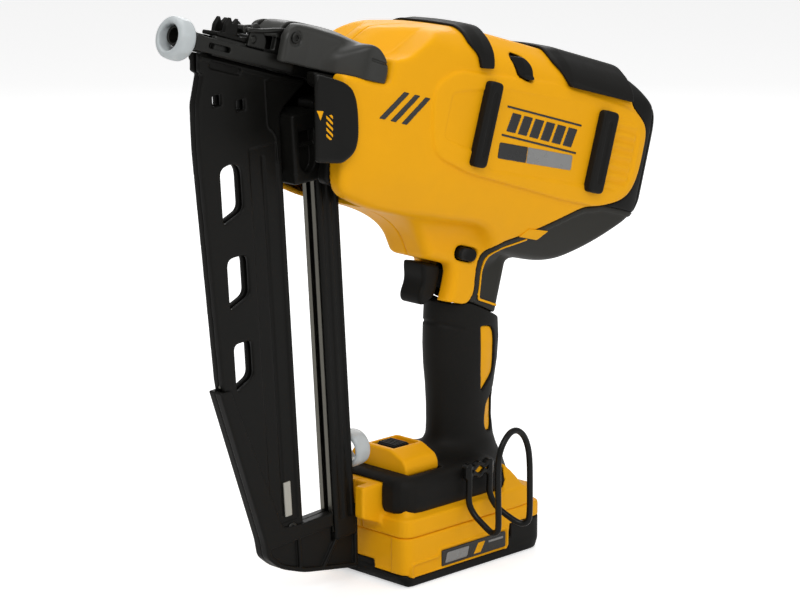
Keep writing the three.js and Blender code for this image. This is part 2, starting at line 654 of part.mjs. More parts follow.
// Thumb wheel that sets how deep the nails go, on the rear end of the trip's right arm.
piece(
  drive,
  "depth_wheel",
  cut(pinX(WHEEL.y, WHEEL.w, 5.5, 76, 83, 18), pinX(WHEEL.y, WHEEL.w, 1.5 + GAP, 70, 90, 12)),
  BLACK_PLASTIC,
);
piece(drive, "trip_spring", spring(85, 96.7, 3.2, 0.5, 4, WHEEL.y, WHEEL.w), STEEL);

// ---------------------------------------------------------------- magazine
// Distances run down the magazine, away from the nail exit; its upper edge follows the drive axis.
const SLOPE = Math.tan(radians(MAGAZINE_ANGLE));
const upperEdge = (x, drop) => [x, -SLOPE * x - drop];
// Side plate: its rear edge stops at the gap, its lower front corner at the cap's slanted edge.
function sidePlate(side) {
  const inner = side * 1.2;
  const outer = side * MAG.plateHalf;
  const plate = slab(
    outline([
      upperEdge(16, 7), upperEdge(MAG.plates + 20, 7), [MAG.plates + 20, -42], [MAG.plates, -55],
      [MAG.plates, -306], [48, -306], [MAG.front + 1, -205], [13, -66], [13, -38], [16.5, -34],
    ]),
    Math.min(inner, outer),
    Math.max(inner, outer),
  );
  const windows = [-80, -131, -181].map((top) => {
    const shape = [
      [23.5, top - 6], [23.5, top - 28], [42.5, top - 22], [42.5, top - 6], [37, top], [29, top],
    ];
    return slab(outline(shape), -20, 20);
  });
  const ports = [[25, -40], [40, -45]].map(([x, z]) => block(x - 3.5, x + 3.5, -20, 20, z - 3.5, z + 3.5));
  return cut(plate, ...windows, ...ports);
}
piece(magazine, "magazine_side_left", sidePlate(-1), BLACK_PLASTIC);
piece(magazine, "magazine_side_right", sidePlate(1), BLACK_PLASTIC);
// Steel strip between the plates that the nail points slide along.
const railOutline = outline([upperEdge(17, 10), upperEdge(21, 10), [21, -205], [17, -205]]);
piece(magazine, "nail_rail", slab(railOutline, -0.9, 0.9), STEEL);

// Channel behind the gap that carries the pusher; its open groove faces the nails.
function rearBeam() {
  const channel = block(MAG.beam, MAG.rear, -MAG.beamHalf, MAG.beamHalf, -318, -52);
  const groove = block(MAG.beam - 5, MAG.beam + 9, -1.9, 1.9, -313, -57);
  return cut(channel, groove, block(MAG.beam - 1, MAG.beam + 2.4, -5, 5, -313, -57));
}
piece(magazine, "rear_beam", rearBeam(), BLACK_PLASTIC);
// Polished runner in the mouth of the groove, for the pusher.
piece(
  magazine,
  "pusher_rail",
  cut(
    block(MAG.beam - 0.6, MAG.beam + 2.4 - GAP, -5 + GAP, 5 - GAP, -313 + GAP, -57 - GAP),
    block(MAG.beam - 2, MAG.beam + 5, -1.9, 1.9, -309, -50),
  ),
  STEEL,
);
// Pusher: a block in the gap that runs on the rail, with a blade between the plates that bears on
// the last nail.
const PUSHER = { front: 73, top: -60, bottom: -97, half: 12 };
piece(
  magazine,
  "pusher",
  join(
    cut(
      block(PUSHER.front, MAG.beam - 1, -PUSHER.half, PUSHER.half, PUSHER.bottom, PUSHER.top),
      block(PUSHER.front + 4, MAG.beam - 5, -20, -5, PUSHER.bottom + 6, PUSHER.top - 7),
    ),
    slab(outline([[25, -64], [25, -68], [33, -91], [74, -91], [74, -64]]), -0.9, 0.9),
    block(MAG.beam - 2, MAG.beam + 7, -1.5, 1.5, PUSHER.bottom + 4, PUSHER.top - 4),
    block(PUSHER.front + 3, MAG.beam - 4, -11, -9, -76, -74),
  ),
  BLACK_PLASTIC,
);

// End cap: frames the lower ends of the plates and the channel.
function endCap() {
  const platePocket = outline([
    [MAG.front, -205], [48 - GAP, -306 - GAP], [MAG.plates + GAP, -306 - GAP], [MAG.plates + GAP, -180],
    [MAG.front, -180],
  ]);
  return cut(
    slab(outline([
      [13, -206], [39.6, -303], [41, -314], [50.5, -323], [68.7, -330.5], [112, -340], [114, -300],
      [MAG.plates, -300], [58, -292], [30, -212], [28, -206],
    ]), -MAG.capHalf, MAG.capHalf),
    slab(platePocket, -MAG.plateHalf - GAP, MAG.plateHalf + GAP),
    block(MAG.beam - 1, MAG.rear + GAP, -MAG.beamHalf - 1, MAG.beamHalf + 1, -318 - GAP, -290),
  );
}
piece(magazine, "magazine_end_cap", endCap(), BLACK_PLASTIC);
piece(
  magazine,
  "spare_no_mar_pad",
  padRing(11).rotateZ(-Math.PI / 2).translate(MAG.rear + 6 + GAP, 0, -267),
  PALE_PLASTIC,
);

export default tool;
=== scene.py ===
import json
import math

import bpy
import numpy as np
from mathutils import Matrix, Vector


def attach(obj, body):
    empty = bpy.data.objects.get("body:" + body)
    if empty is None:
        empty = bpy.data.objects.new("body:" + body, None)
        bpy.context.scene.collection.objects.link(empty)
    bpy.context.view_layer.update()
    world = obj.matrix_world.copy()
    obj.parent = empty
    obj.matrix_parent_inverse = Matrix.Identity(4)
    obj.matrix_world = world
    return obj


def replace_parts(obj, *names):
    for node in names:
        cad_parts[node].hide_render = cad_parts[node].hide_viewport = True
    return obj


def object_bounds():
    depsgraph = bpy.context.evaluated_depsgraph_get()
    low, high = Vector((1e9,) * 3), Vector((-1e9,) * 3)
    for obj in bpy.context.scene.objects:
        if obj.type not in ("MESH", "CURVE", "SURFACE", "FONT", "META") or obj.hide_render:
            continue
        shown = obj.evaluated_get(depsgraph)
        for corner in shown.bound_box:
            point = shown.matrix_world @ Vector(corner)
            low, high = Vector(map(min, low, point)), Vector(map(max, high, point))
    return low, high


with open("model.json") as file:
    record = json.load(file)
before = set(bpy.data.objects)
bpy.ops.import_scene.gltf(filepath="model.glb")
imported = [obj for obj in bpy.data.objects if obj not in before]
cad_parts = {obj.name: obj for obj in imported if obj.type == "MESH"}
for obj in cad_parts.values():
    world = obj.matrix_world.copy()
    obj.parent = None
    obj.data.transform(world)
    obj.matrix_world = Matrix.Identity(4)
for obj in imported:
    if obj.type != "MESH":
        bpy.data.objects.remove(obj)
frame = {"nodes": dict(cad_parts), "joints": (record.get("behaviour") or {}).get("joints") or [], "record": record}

CAD_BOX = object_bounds()
MM = 0.001
COARSER = 1.0

# ---- frames, in millimetres
# The drive frame runs along the drive axis (u) and square to it (w); the magazine frame runs across the
# magazine (m) and up it (n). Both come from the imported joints.
JOINTS = {j["name"]: j for j in frame["joints"]}
FORWARD = JOINTS["driver_stroke"]["axis"]
DOWN = JOINTS["pusher_slide"]["axis"]
TILT = math.atan2(FORWARD[2], -FORWARD[0])
LEAN = math.atan2(DOWN[0], -DOWN[2])
# The flywheel's axis, in the tool's frame and in the drive frame, places the nail's exit.
FLY_X, _, FLY_Z = np.array(JOINTS["flywheel_spin"]["pos_m"], float) / MM
FLY_U, FLY_W = 296.0, -37.0
EXIT = (
    FLY_X - FLY_U * math.cos(TILT) - FLY_W * math.sin(TILT),
    FLY_Z + FLY_U * math.sin(TILT) - FLY_W * math.cos(TILT),
)
MAG_START = 2.0  # from the exit to the magazine frame's origin, along the drive axis
SIDES = ((-1, "left"), (1, "right"))


def frame_matrix(turn, x, z):
    """Frame turned about the tool's Y axis, with its origin at x, z."""
    c, s = math.cos(turn), math.sin(turn)
    return np.array([[c, 0, s, x], [0, 1, 0, 0], [-s, 0, c, z], [0, 0, 0, 1.0]])


TOOL = np.eye(4)
DRIVE = frame_matrix(TILT, *EXIT)
# The magazine frame's own m axis rises slightly: its turn is against the lean of the pusher's path.
MAGAZINE = frame_matrix(
    -LEAN, EXIT[0] + MAG_START * math.cos(TILT), EXIT[1] - MAG_START * math.sin(TILT)
)


def moved(points, matrix):
    """Points of one frame, given in another."""
    return points @ matrix[:3, :3].T + matrix[:3, 3]


# ---- distance fields
def corners(points, steps=5):
    """Points of an outline of (a, b[, radius]) corners, rounded by quadratic curves."""
    out = []
    n = len(points)
    for i, p in enumerate(points):
        here = np.array(p[:2], float)
        radius = p[2] if len(p) > 2 else 0
        if not radius:
            out.append(here)
            continue
        before = np.array(points[i - 1][:2], float) - here
        after = np.array(points[(i + 1) % n][:2], float) - here
        a = here + before / np.linalg.norm(before) * min(radius, np.linalg.norm(before) * 0.49)
        b = here + after / np.linalg.norm(after) * min(radius, np.linalg.norm(after) * 0.49)
        for t in np.linspace(0, 1, steps + 1):
            out.append((1 - t) ** 2 * a + 2 * t * (1 - t) * here + t * t * b)
    return np.array(out)


class Flat:
    """Signed distance to a 2-D outline, kept on a fine raster. soften rounds every corner a little."""

    def __init__(self, points, step=0.5, margin=14, soften=0.0, steps=5):
        poly = corners(points, steps)
        self.lo = poly.min(0) - margin
        size = np.ceil((poly.max(0) + margin - self.lo) / step).astype(int) + 2
        a = self.lo[0] + step * np.arange(size[0])
        b = self.lo[1] + step * np.arange(size[1])
        A, B = np.meshgrid(a, b, indexing="ij")
        best = np.full(A.shape, 1e9)
        inside = np.zeros(A.shape, bool)
        for p, q in zip(poly, np.roll(poly, -1, 0)):
            e = q - p
            length = e @ e
            if length < 1e-12:
                continue
            wa, wb = A - p[0], B - p[1]
            t = np.clip((wa * e[0] + wb * e[1]) / length, 0, 1)
            best = np.minimum(best, (wa - t * e[0]) ** 2 + (wb - t * e[1]) ** 2)
            crosses = (p[1] > B) != (q[1] > B)
            if abs(e[1]) > 1e-12:
                inside ^= crosses & (wa < e[0] * wb / e[1])
        d = np.sqrt(best)
        d[inside] *= -1
        if soften > 0:
            r = max(1, int(round(soften / step)))
            kernel = np.exp(-0.5 * (np.arange(-2 * r, 2 * r + 1) / r) ** 2)
            kernel /= kernel.sum()
            for axis in (0, 1):
                padded = np.pad(d, [(2 * r, 2 * r) if k == axis else (0, 0) for k in (0, 1)], "edge")
                d = sum(
                    w * np.take(padded, range(i, i + d.shape[axis]), axis)
                    for i, w in enumerate(kernel)
                )
        self.d = d.astype(np.float32)
        self.step = step

    def __call__(self, a, b):
        x = np.clip((a - self.lo[0]) / self.step, 0, self.d.shape[0] - 1.001)
        y = np.clip((b - self.lo[1]) / self.step, 0, self.d.shape[1] - 1.001)
        i, j = x.astype(np.int32), y.astype(np.int32)
        fx, fy = x - i, y - j
        d = self.d
        inner = (d[i, j] * (1 - fx) + d[i + 1, j] * fx) * (1 - fy) + (
            d[i, j + 1] * (1 - fx) + d[i + 1, j + 1] * fx
        ) * fy
        far_a = np.maximum(self.lo[0] - a, a - self.lo[0] - self.step * (d.shape[0] - 1))
        far_b = np.maximum(self.lo[1] - b, b - self.lo[1] - self.step * (d.shape[1] - 1))
        return inner + np.maximum(far_a, 0) + np.maximum(far_b, 0)


def smin(a, b, k):
    """Smaller of two fields, blended over a width k; smax is its opposite."""
    h = np.maximum(k - abs(a - b), 0) / k
    return np.minimum(a, b) - h * h * k * 0.25


def smax(a, b, k):
    return -smin(-a, -b, k)


def cut(a, b, k):
    """What is left of a outside b."""
    return smax(a, -b, k)


def both(*fields, k=1.0):
    """What several fields have in common, its edges rounded by k."""
    out = fields[0]
    for f in fields[1:]:
        out = smax(out, f, k)
    return out


def between(v, lo, hi):
    return np.maximum(lo - v, v - hi)


def box3(p, x0, x1, y0, y1, z0, z1, r=0.8):
    """Rounded box."""
    lo, hi = np.array([(x0, y0, z0), (x1, y1, z1)], float)
    q = abs(p - (lo + hi) / 2) - np.maximum((hi - lo) / 2 - r, 0.01)
    return np.sqrt((np.maximum(q, 0) ** 2).sum(1)) + np.minimum(q.max(1), 0) - r


def from_axis(a, b, centre, long=0):
    """Distance from a point in two coordinates, or from a line of half length long through it."""
    return np.hypot(np.maximum(abs(a - centre[0]) - long, 0), b - centre[1])


def rod(p, axis, centre, r, lo, hi, edge=0.5):
    """Round bar along one axis: centre is the pair of other coordinates."""
    a, b = [i for i in range(3) if i != axis]
    d = from_axis(p[:, a], p[:, b], centre) - r
    return smax(d, between(p[:, axis], lo, hi), edge)


def capsule_path(p, path, r):
    """Round bar along a list of points."""
    best = np.full(len(p), 1e9)
    for a, b in zip(path[:-1], path[1:]):
        e = b - a
        w = p - a
        t = np.clip(w @ e / (e @ e), 0, 1)
        best = np.minimum(best, ((w - t[:, None] * e) ** 2).sum(1))
    return np.sqrt(best) - r


def spline(points, samples=8):
    """Catmull-Rom points through a list of points."""
    p = np.array(points, float)
    p = np.vstack([2 * p[0] - p[1], p, 2 * p[-1] - p[-2]])
    out = []
    for i in range(1, len(p) - 2):
        for t in np.arange(samples) / samples:
            a, b, c, d = p[i - 1 : i + 3]
            out.append(
                0.5 * (2 * b + (c - a) * t + (2 * a - 5 * b + 4 * c - d) * t * t
                       + (3 * b - a - 3 * c + d) * t ** 3)
            )
    out.append(p[-2])
    return np.array(out)


# ---- meshing
def lattice(*sizes):
    """Every whole-number point of a block of the given sizes."""
    return np.stack(np.meshgrid(*map(np.arange, sizes), indexing="ij"), -1).reshape(-1, 3)


CORNERS = lattice(2, 2, 2)
EDGES = [(a, b) for a in range(8) for b in range(a + 1, 8) if abs(CORNERS[a] - CORNERS[b]).sum() == 1]
BLOCK = 8
BATCH = 400


def surface(field, lo, hi, h):
    """Vertices and quads of the zero surface of field, by surface nets on a grid of step h."""
    lo = np.array(lo, float) - 2 * h
    n = (np.ceil((np.array(hi, float) + 2 * h - lo) / (h * BLOCK)).astype(int)) * BLOCK
    blocks = n // BLOCK
    span = h * BLOCK
    # blocks that the surface can't reach take one value; the field fills the others, batch by batch
    g = lattice(*blocks)
    mid = field(lo + (g + 0.5) * span)
    near = abs(mid) < span * 1.15
    vol = np.empty(n, np.float32)
    view = vol.reshape(blocks[0], BLOCK, blocks[1], BLOCK, blocks[2], BLOCK)
    for (i, j, k), v in zip(g[~near], mid[~near]):
        view[i, :, j, :, k, :] = v
    local = lattice(BLOCK, BLOCK, BLOCK)
    active = g[near]
    for start in range(0, len(active), BATCH):
        part = active[start : start + BATCH]
        pts = lo + ((part[:, None, :] * BLOCK + local[None]) * h).reshape(-1, 3)
        vals = field(pts).reshape(len(part), BLOCK, BLOCK, BLOCK)
        for (i, j, k), v in zip(part, vals):
            view[i, :, j, :, k, :] = v
    for axis in range(3):
        layers = np.moveaxis(vol, axis, 0)
        layers[[0, -1]] = np.maximum(layers[[0, -1]], h * 0.1)
    # one vertex in each cell that the surface crosses, at the mean of its edges' crossings
    sign = vol < 0
    count = sum(
        sign[i : n[0] - 1 + i, j : n[1] - 1 + j, k : n[2] - 1 + k].astype(np.int8)
        for i, j, k in CORNERS
    )
    cells = np.argwhere((count > 0) & (count < 8))
    values = np.stack([vol[tuple((cells + c).T)] for c in CORNERS], 1)
    total = np.zeros((len(cells), 3))
    hits = np.zeros(len(cells))
    for a, b in EDGES:
        cross = (values[:, a] < 0) != (values[:, b] < 0)
        t = np.where(cross, values[:, a] / np.where(cross, values[:, a] - values[:, b], 1), 0)
        point = CORNERS[a] + t[:, None] * (CORNERS[b] - CORNERS[a])
        total += point * cross[:, None]
        hits += cross
    verts = lo + (cells + total / hits[:, None]) * h
    # one quad round each grid edge that the surface crosses
    index = np.full(n, -1, np.int64)
    index[tuple(cells.T)] = np.arange(len(cells))
    quads = []
    unit = np.eye(3, dtype=int)
    for axis in range(3):
        o1, o2 = unit[(axis + 1) % 3], unit[(axis + 2) % 3]
        change = sign != np.roll(sign, -1, axis)
        np.moveaxis(change, axis, 0)[-1] = False
        at = np.argwhere(change)
        at = at[((at - o1 - o2) >= 0).all(1)]
        q = np.stack([index[tuple((at - d).T)] for d in (o1 + o2, o2, o1 * 0, o1)], 1)
        flip = ~sign[tuple(at.T)]
        q[flip] = q[flip][:, ::-1]
        quads.append(q[(q >= 0).all(1)])
    # two steps down the gradient bring the vertices onto the surface
    e = h * 0.35
    for _ in range(2):
        grad = np.stack([field(verts + d) - field(verts - d) for d in e * np.eye(3)], 1) / (2 * e)
        length = np.maximum((grad ** 2).sum(1), 0.25)
        step = np.clip(field(verts), -0.45 * h, 0.45 * h) / length
        verts = verts - grad * step[:, None]
    return verts, np.concatenate(quads)


def added(name, place, lo, hi, h, field, look, body="tool"):
    """A piece from a distance field given in millimetres in one of the three frames."""
    verts, faces = surface(field, lo, hi, h * COARSER)
    mesh = bpy.data.meshes.new(name)
    mesh.vertices.add(len(verts))
    mesh.vertices.foreach_set("co", (moved(verts, place) * MM).astype(np.float32).ravel())
    mesh.loops.add(faces.size)
    mesh.loops.foreach_set("vertex_index", faces.astype(np.int32).ravel())
    mesh.polygons.add(len(faces))
    mesh.polygons.foreach_set("loop_start", (np.arange(len(faces)) * 4).astype(np.int32))
    mesh.polygons.foreach_set("loop_total", np.full(len(faces), 4, np.int32))
    mesh.update(calc_edges=True)
    mesh.validate()
    mesh.shade_smooth()
    mesh.materials.append(look)
    obj = bpy.data.objects.new(name, mesh)
    bpy.context.scene.collection.objects.link(obj)
    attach(obj, body)
    return obj


NODE_BODY = {
    n: body for body, nodes in frame["record"]["behaviour"]["bodies"].items() for n in nodes
}
NODE_SLOT = {s["node"]: s.get("material_slot") for s in frame["record"]["subparts"]}


def moulded(name, place, lo, hi, h, field, look, node=None):
    """A piece that stands for a CAD node: its own name's, unless node is given."""
    node = node or name
    label = name + "_shape" if name in frame["nodes"] else name
    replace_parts(added(label, place, lo, hi, h, field, look, NODE_BODY[node]), node)


# ---- materials
def material(name, colour, roughness, grain=0.5, bump=0.15, metallic=0.0, mottle=0.06, wear=0.25,
             scratch=1.0, translucent=0.0, gloss=0.5):
    """Procedural finish: mottled colour, moulded or ground grain, and paler worn edges.
    grain is the size of the surface grain in millimetres; bump is its depth in tenths of one."""
    mat = bpy.data.materials.new(name)
    mat.use_nodes = True
    nodes, links = mat.node_tree.nodes, mat.node_tree.links
    nodes.clear()

    def add(kind, inputs, **settings):
        """New node; an input's value is a plain value, or the socket that feeds it."""
        node = nodes.new(kind)
        for key, value in settings.items():
            setattr(node, key, value)
        for key, value in inputs.items():
            if isinstance(value, bpy.types.NodeSocket):
                links.new(value, node.inputs[key])
            else:
                node.inputs[key].default_value = value
        return node

    def remap(value, low, high, to_low, to_high):
        return add("ShaderNodeMapRange", {
            "Value": value, "From Min": low, "From Max": high, "To Min": to_low, "To Max": to_high,
        }).outputs["Result"]

    place = add("ShaderNodeTexCoord", {}).outputs["Object"]
    big = add("ShaderNodeTexNoise", {"Vector": place, "Scale": 38.0, "Detail": 4.0, "Roughness": 0.6})
    stretch = add("ShaderNodeMapping", {"Vector": place, "Scale": (1, 1, scratch)})
    fine = add("ShaderNodeTexNoise", {
        "Vector": stretch.outputs["Vector"], "Scale": 1000.0 / grain, "Detail": 2.0, "Roughness": 0.5,
    })
    # colour: slow mottling, then paler on exposed edges
    shade = remap(big.outputs["Fac"], 0.3, 0.7, 1 - mottle, 1 + mottle)
    tint = add("ShaderNodeVectorMath", {0: colour, "Scale": shade}, operation="SCALE")
    geometry = add("ShaderNodeNewGeometry", {})
    edge = remap(geometry.outputs["Pointiness"], 0.52, 0.6, 0.0, wear)
    pale = [min(1.0, c * 1.35 + 0.05) for c in colour]
    mix = add("ShaderNodeMix", {"Factor": edge, 6: tint.outputs[0], 7: (*pale, 1)}, data_type="RGBA")
    rough = remap(big.outputs["Fac"], 0.3, 0.7, max(0.04, roughness - 0.07), min(1.0, roughness + 0.07))
    dent = add("ShaderNodeBump", {
        "Strength": 1.0, "Distance": bump * 0.1 * MM, "Height": fine.outputs["Fac"],
    })
    shader = add("ShaderNodeBsdfPrincipled", {
        "Base Color": mix.outputs[2], "Metallic": metallic, "Roughness": rough, "Specular IOR Level": gloss,
        "Normal": dent.outputs["Normal"], "Subsurface Weight": translucent,
        "Subsurface Radius": (0.004, 0.004, 0.004), "Transmission Weight": translucent * 0.4,
    })
    add("ShaderNodeOutputMaterial", {0: shader.outputs[0]})
    return mat


YELLOW = material("yellow_plastic", (0.87, 0.40, 0.004), 0.42, grain=0.35, bump=0.08, mottle=0.02,
                  wear=0.04, gloss=0.10)
BLACK = material("black_plastic", (0.0062, 0.006, 0.0052), 0.42, grain=0.45, bump=0.25, mottle=0.12,
                 wear=0.06, gloss=0.12)
LEVER_GREY = material("grey_lever_plastic", (0.032, 0.032, 0.029), 0.36, grain=0.4, bump=0.2, wear=0.1,
                      gloss=0.25)
COVER_GREY = material("grey_cover_plastic", (0.024, 0.023, 0.019), 0.45, grain=0.45, bump=0.3, mottle=0.1,
                      wear=0.05, gloss=0.15)
HOOK_BLACK = material("coated_wire", (0.0055, 0.0055, 0.005), 0.3, grain=0.8, bump=0.1, mottle=0.1,
                      wear=0.05, gloss=0.2)
RUBBER = material("rubber_overmould", (0.0085, 0.008, 0.007), 0.55, grain=0.9, bump=0.5, mottle=0.15,
                  wear=0.05, gloss=0.12)
DARK_METAL = material("black_oxide_steel", (0.020, 0.020, 0.018), 0.36, grain=0.3, bump=0.10,
                      metallic=0.7, mottle=0.15, wear=0.3)
STEEL = material("ground_steel", (0.50, 0.49, 0.47), 0.26, grain=0.25, bump=0.10, metallic=1.0,
                 mottle=0.08, scratch=0.04)
ALLOY = material("cast_alloy", (0.42, 0.43, 0.44), 0.5, grain=0.8, bump=0.5, metallic=0.9)
COPPER = material("enamelled_copper", (0.42, 0.16, 0.06), 0.4, grain=0.6, bump=0.8, metallic=0.8)
PALE = material("translucent_elastomer", (0.62, 0.66, 0.67), 0.34, grain=1.2, bump=0.25, mottle=0.05,
                wear=0, translucent=0.5)
STRIP_PALE = material("pale_strip", (0.42, 0.41, 0.36), 0.4, bump=0.05, mottle=0.05, wear=0)
RAIL_STEEL = material("oiled_steel", (0.13, 0.125, 0.105), 0.34, grain=0.25, bump=0.10, metallic=1.0,
                      mottle=0.2, scratch=0.04)
LABEL_BLACK = material("label_black", (0.012, 0.012, 0.012), 0.25, bump=0.04, mottle=0.05, wear=0)
LABEL_GREY = material("label_grey", (0.24, 0.24, 0.235), 0.3, bump=0.04, mottle=0.05, wear=0)
SLOT_LOOK = {
    "yellow": YELLOW, "black_plastic": BLACK, "rubber": RUBBER, "dark_metal": DARK_METAL,
    "steel": STEEL, "alloy": ALLOY, "pale_plastic": PALE, "copper": COPPER,
}

# ---- motor housing, drive frame
def mirrored(points, axis=1):
    """Outline from the corners of one half and their reflections, in turn."""
    flip = (1, -1) if axis else (-1, 1)
    return points + [(a * flip[0], b * flip[1], *r) for a, b, *r in points[::-1]]


HALF = 46.0  # half width at the side panels
BASE_HALF = 43.0  # half width beside them
SHELL = 3.0
SIDE = Flat([
    (117, -66, 9), (101, -8, 12), (102, 0, 2), (134, 1, 2), (134, 22, 3), (146, 33, 5), (163, 37.5, 8),
    (187, 43, 10), (204, 46.8, 10), (230, 48, 8), (347, 48, 8), (363, 35, 8), (373, 23, 4), (375, 15, 2),
    (375, -31, 2), (366, -44, 8), (340, -66, 16), (316, -82, 14), (268, -84, 10), (244, -66, 12),
    (150, -72, 20),
], soften=0.8)
PLAN = Flat(mirrored([
    (90, -35, 3), (122, -38, 12), (150, -42, 12), (200, -47, 8), (356, -47, 12), (375, -38.5, 5),
]), soften=1.5)


def section(half):
    left = [(-24, -84, 10), (-36, -64, 12), (-half, -38, 16), (-half, 14, 12), (-40, 30.5, 5),
            (-33, 38.5, 4), (-21.5, 46, 3), (0, 47.4, 8)]
    return Flat(left + mirrored(left, axis=0)[len(left) + 1 :], soften=0.8)


BASE_SECTION = section(BASE_HALF)
PANEL_SECTION = section(HALF)
PANEL = Flat([
    (166, 6, 10), (182, 18, 8), (268, 26), (345, 23.5, 12), (361, 15, 9), (361, -16, 10), (353, -32, 12),
    (329, -41, 8), (298, -41.5, 6), (207, -38.5, 8), (178, -33, 8), (171.5, -20, 8),
], soften=0.8)
RECESS = Flat([
    (181, 5, 4), (200, 9.5), (222, 14.7, 4), (310, 18.3), (345, 17.5, 6), (353, 8, 6), (353, -18, 6),
    (344, -28, 6), (308, -30), (225, -34, 4), (205, -25), (181, -22, 4),
])
RIB_PITCH = 6.4
RECESS_DEEP = 1.7


def body_form(p):
    """The whole motor housing, rear end and underside included."""
    u, y, w = p.T
    base = both(SIDE(u, w), BASE_SECTION(y, w), PLAN(u, y), k=5.0)
    # the upper front corners are cut off at a slant
    chamfer = -0.553 * (u - 134) + 0.566 * (np.minimum(abs(y), 22) - 6) + 0.612 * (w - 33) + 6
    base = smax(base, smin(chamfer, w - 15, 6.0), 2.5)
    panel = both(SIDE(u, w), PANEL_SECTION(y, w), PLAN(u, y), k=4.0)
    panel = smax(panel, PANEL(u, w), 1.6)
    form = smin(base, panel, 1.5)
    rib = 0.5 + 0.5 * np.tanh(4 * np.sin(2 * math.pi * (w + 2) / RIB_PITCH))
    rib = rib * np.clip((u - 328.5) / 1.0, 0, 1) * np.clip((350 - u) / 1.0, 0, 1)
    floor = HALF - RECESS_DEEP + 1.3 * rib
    return cut(form, both(RECESS(u, w), floor - abs(y), k=0.6), 0.7)


NECK = Flat([
    (160, -50, 10), (176, -59, 14), (190, -68, 12), (205, -79, 10), (217, -92.5, 2), (238, -93, 3),
    (240.5, -98, 4), (241, -114, 6), (235.5, -120.5, 2), (234.5, -124.5, 2), (244, -128.5, 6),
    (263, -126, 4), (288.5, -124, 6), (288.5, -82, 4), (288, -50, 10),
], soften=0.6)
NECK_HALF = 18.0


def with_neck(p):
    u, y, w = p.T
    narrow = np.clip((242 - u) * 0.9, 0, 8) * np.clip((-112 - w) / 5, 0, 1)
    neck = both(NECK(u, w), abs(y) - NECK_HALF + narrow, k=7.0)
    return smin(body_form(p), neck, 16.0 - 11.0 * np.clip((u - 264) / 12, 0, 1))


# The yellow shells, seen from the side: the rear cap starts behind them, the cover below.
YELLOW_REGION = Flat([
    (60, -140), (60, 70), (344, 70), (344.5, 26, 6), (361.5, 16, 9), (361.5, -17, 10), (353, -33, 12),
    (333, -39.5, 8), (318, -43, 6), (283, -64, 10), (264, -74, 4), (258, -81, 6), (262, -107, 3),
    (259, -113.3, 3), (255, -115, 2), (233, -115.8, 2), (229.5, -120, 2), (224, -140),
], margin=30)
SEAM = 0.25  # half the gap between the yellow shells and their neighbours
EDGE_BAND = 3.6
CAP_JOINT = -39.0
LOCK_OFF = (247, -85)
TRIGGER_SIDE = Flat([
    (222.5, -94.3, 1), (236, -93.6, 3), (239.3, -97, 3), (239.3, -114, 5), (231, -120.8, 2),
    (226, -120.3, 2.5), (224, -115, 3), (226.4, -107, 5), (223.5, -99, 3),
], soften=0.4)


def housing(p):
    """Yellow shell, hollow, with its openings; the two halves are cut from it."""
    u, y, w = p.T
    outer = with_neck(p)
    d = smax(outer, YELLOW_REGION(u, w) + SEAM, 0.8)
    d = cut(d, outer + SHELL, 0.5)
    guard = TRIGGER_SIDE(u, w) - 0.8
    openings = [
        both(between(u, 60, 145), abs(y) - 25.6, between(w, -95, 1.5), k=3.0),
        both(guard, abs(y) - 10, k=1.0),
        box3(p, 236, 247, -9, 9, -121, -93),
        np.maximum(from_axis(u, w, LOCK_OFF, 4.6) - 4.6, between(y, -60, 60)),
        both(lever_sweep(u, w) - 0.5, y + 25, k=0.3),
    ]
    for hole in openings:
        d = cut(d, hole, 0.6)
    return d


# Stall-release lever, and the opening it swings in: its upper end moves to the rear.
LEVER = Flat([(230.5, 35, 1.5), (243, 36.2, 3), (247.6, 32, 2.5), (248.4, 24.2, 1), (242.5, 23.2, 1),
              (236.5, 24.4, 2.5), (233, 30.5, 2)], step=0.25)
LEVER_PIVOT = (241.1, 24.2)
LEVER_SWING = math.radians(12)


def lever_sweep(u, w):
    """Everything the lever's outline covers as it swings to the rear."""
    a, b = u - LEVER_PIVOT[0], w - LEVER_PIVOT[1]
    out = LEVER(u, w)
    for turn in np.linspace(0, LEVER_SWING, 5)[1:]:
        c, t = math.cos(turn), math.sin(turn)
        out = np.minimum(out, LEVER(LEVER_PIVOT[0] + a * c - b * t, LEVER_PIVOT[1] + a * t + b * c))
    return out


def half(field, side):
    """One side of a form that is split down the middle, its inner edge eased."""
    return lambda p: smax(field(p), 0.12 - side * p[:, 1], 0.9)


BODY_STEP = 1.1
for side, side_name in SIDES:
    y0, y1 = sorted((0, side * 52))
    moulded(f"housing_{side_name}", DRIVE, (88, y0, -132), (366, y1, 52), BODY_STEP,
            half(housing, side), YELLOW)


def rear_cap(p):
    u, y, w = p.T
    outer = with_neck(p)
    d = cut(outer, YELLOW_REGION(u, w) - SEAM, 0.8)
    d = smax(d, CAP_JOINT + 0.1 - w, 0.3)
    d = cut(d, outer + SHELL, 0.5)
    for k in range(4):
        slit = both(between(w, -26 + 8.5 * k, -21 + 8.5 * k), 366 - u, abs(y) - 24, k=1.5)
        d = cut(d, slit, 0.8)
    groove = abs(u - 367.5) - 0.5
    return cut(d, both(groove, -(outer + 0.8), k=0.3), 0.4)


moulded("rear_cap", DRIVE, (326, -52, -44), (380, 52, 52), BODY_STEP, rear_cap, BLACK)


def motor_cover(p):
    u, _, w = p.T
    outer = with_neck(p)
    d = cut(outer, YELLOW_REGION(u, w) - SEAM, 0.8)
    d = smax(d, w - CAP_JOINT, 0.3)
    d = cut(d, outer + SHELL, 0.5)
    # a shallow step parts the black edge band from the cover's grey field
    step = both(EDGE_BAND - YELLOW_REGION(u, w), -(outer + 0.8), w + 42, k=0.3)
    d = cut(d, step, 0.4)
    return smax(d, -113 - w - (u - 262) * 0.15, 1.5)


